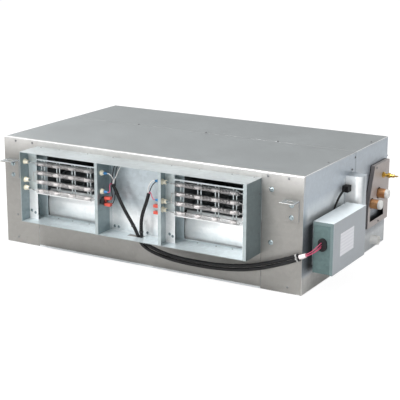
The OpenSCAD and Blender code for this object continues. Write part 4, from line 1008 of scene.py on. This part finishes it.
def make_stage():
    """Pale floor that the eye sees nearly white and that keeps a faint shadow."""
    made = Surface("floor", 0.0, FLOOR_ROUGHNESS)
    made.shader.inputs["Base Color"].default_value = FLOOR_COLOUR
    made.shader.inputs["Specular IOR Level"].default_value = FLOOR_GLOSS
    glow = made.node("ShaderNodeEmission", Strength=FLOOR_GLOW)
    path = made.node("ShaderNodeLightPath")
    share = made.node("ShaderNodeMath", {0: path.outputs["Is Camera Ray"]})
    share.operation = "MULTIPLY"
    share.inputs[1].default_value = FLOOR_GLOW_SHARE
    mix = made.node("ShaderNodeMixShader", {0: share.outputs[0], 1: made.shader.outputs[0],
                                            2: glow.outputs[0]})
    made.tree.links.new(mix.outputs[0], made.tree.nodes["Material Output"].inputs["Surface"])
    mesh = bpy.data.meshes.new("floor")
    corners = [(u * FLOOR_HALF, v * FLOOR_HALF, 0) for u, v in ((-1, -1), (1, -1), (1, 1), (-1, 1))]
    mesh.from_pydata(corners, [], [(0, 1, 2, 3)])
    mesh.materials.append(made.material)
    floor = bpy.data.objects.new("floor", mesh)
    floor.location.z = -FLOOR_DROP
    bpy.context.scene.collection.objects.link(floor)


def make_world():
    """World that the eye sees white and that lights softly, brighter from one direction."""
    world = bpy.data.worlds.new("world")
    world.use_nodes = True
    bpy.context.scene.world = world
    tree = world.node_tree
    soft = tree.nodes["Background"]
    place = tree.nodes.new("ShaderNodeTexCoord")
    slope = tree.nodes.new("ShaderNodeVectorMath")
    slope.operation = "DOT_PRODUCT"
    slope.inputs[1].default_value = WORLD_TOWARD
    tree.links.new(place.outputs["Generated"], slope.inputs[0])
    strength = tree.nodes.new("ShaderNodeMath")
    strength.operation = "MULTIPLY_ADD"
    strength.inputs[1].default_value = WORLD_LEVEL * WORLD_CONTRAST
    strength.inputs[2].default_value = WORLD_LEVEL
    tree.links.new(slope.outputs["Value"], strength.inputs[0])
    tree.links.new(strength.outputs[0], soft.inputs["Strength"])
    soft.inputs["Color"].default_value = WHITE
    white = tree.nodes.new("ShaderNodeBackground")
    white.inputs["Color"].default_value = WHITE
    path = tree.nodes.new("ShaderNodeLightPath")
    mix = tree.nodes.new("ShaderNodeMixShader")
    tree.links.new(path.outputs["Is Camera Ray"], mix.inputs[0])
    tree.links.new(soft.outputs[0], mix.inputs[1])
    tree.links.new(white.outputs[0], mix.inputs[2])
    tree.links.new(mix.outputs[0], tree.nodes["World Output"].inputs["Surface"])


def softbox(name, at, size, watts):
    """Square area lamp that faces the middle of the unit."""
    data = bpy.data.lights.new(name, "AREA")
    data.size = size
    data.energy = watts
    lamp = bpy.data.objects.new(name, data)
    lamp.location = at
    aim = LAMPS_AIM - Vector(at)
    lamp.rotation_euler = aim.to_track_quat("-Z", "Y").to_euler()
    bpy.context.scene.collection.objects.link(lamp)


def light_scene():
    """A soft world, a high key, a low front softbox, and weak ones from the right, the left and above."""
    make_world()
    for lamp in LAMPS:
        softbox(*lamp)


make_camera()
lay_cords()
dress_frame()
wind_heaters()
fold_collar()
fit_buttons()
fit_panel_screws()
fit_collar_screws()
fit_bolts()
fit_nuts()
fit_spades()
fit_plugs()
fold_hem()
stick_label()
stack_fins()
make_stage()
light_scene()
bpy.context.scene.view_settings.view_transform = "Standard"
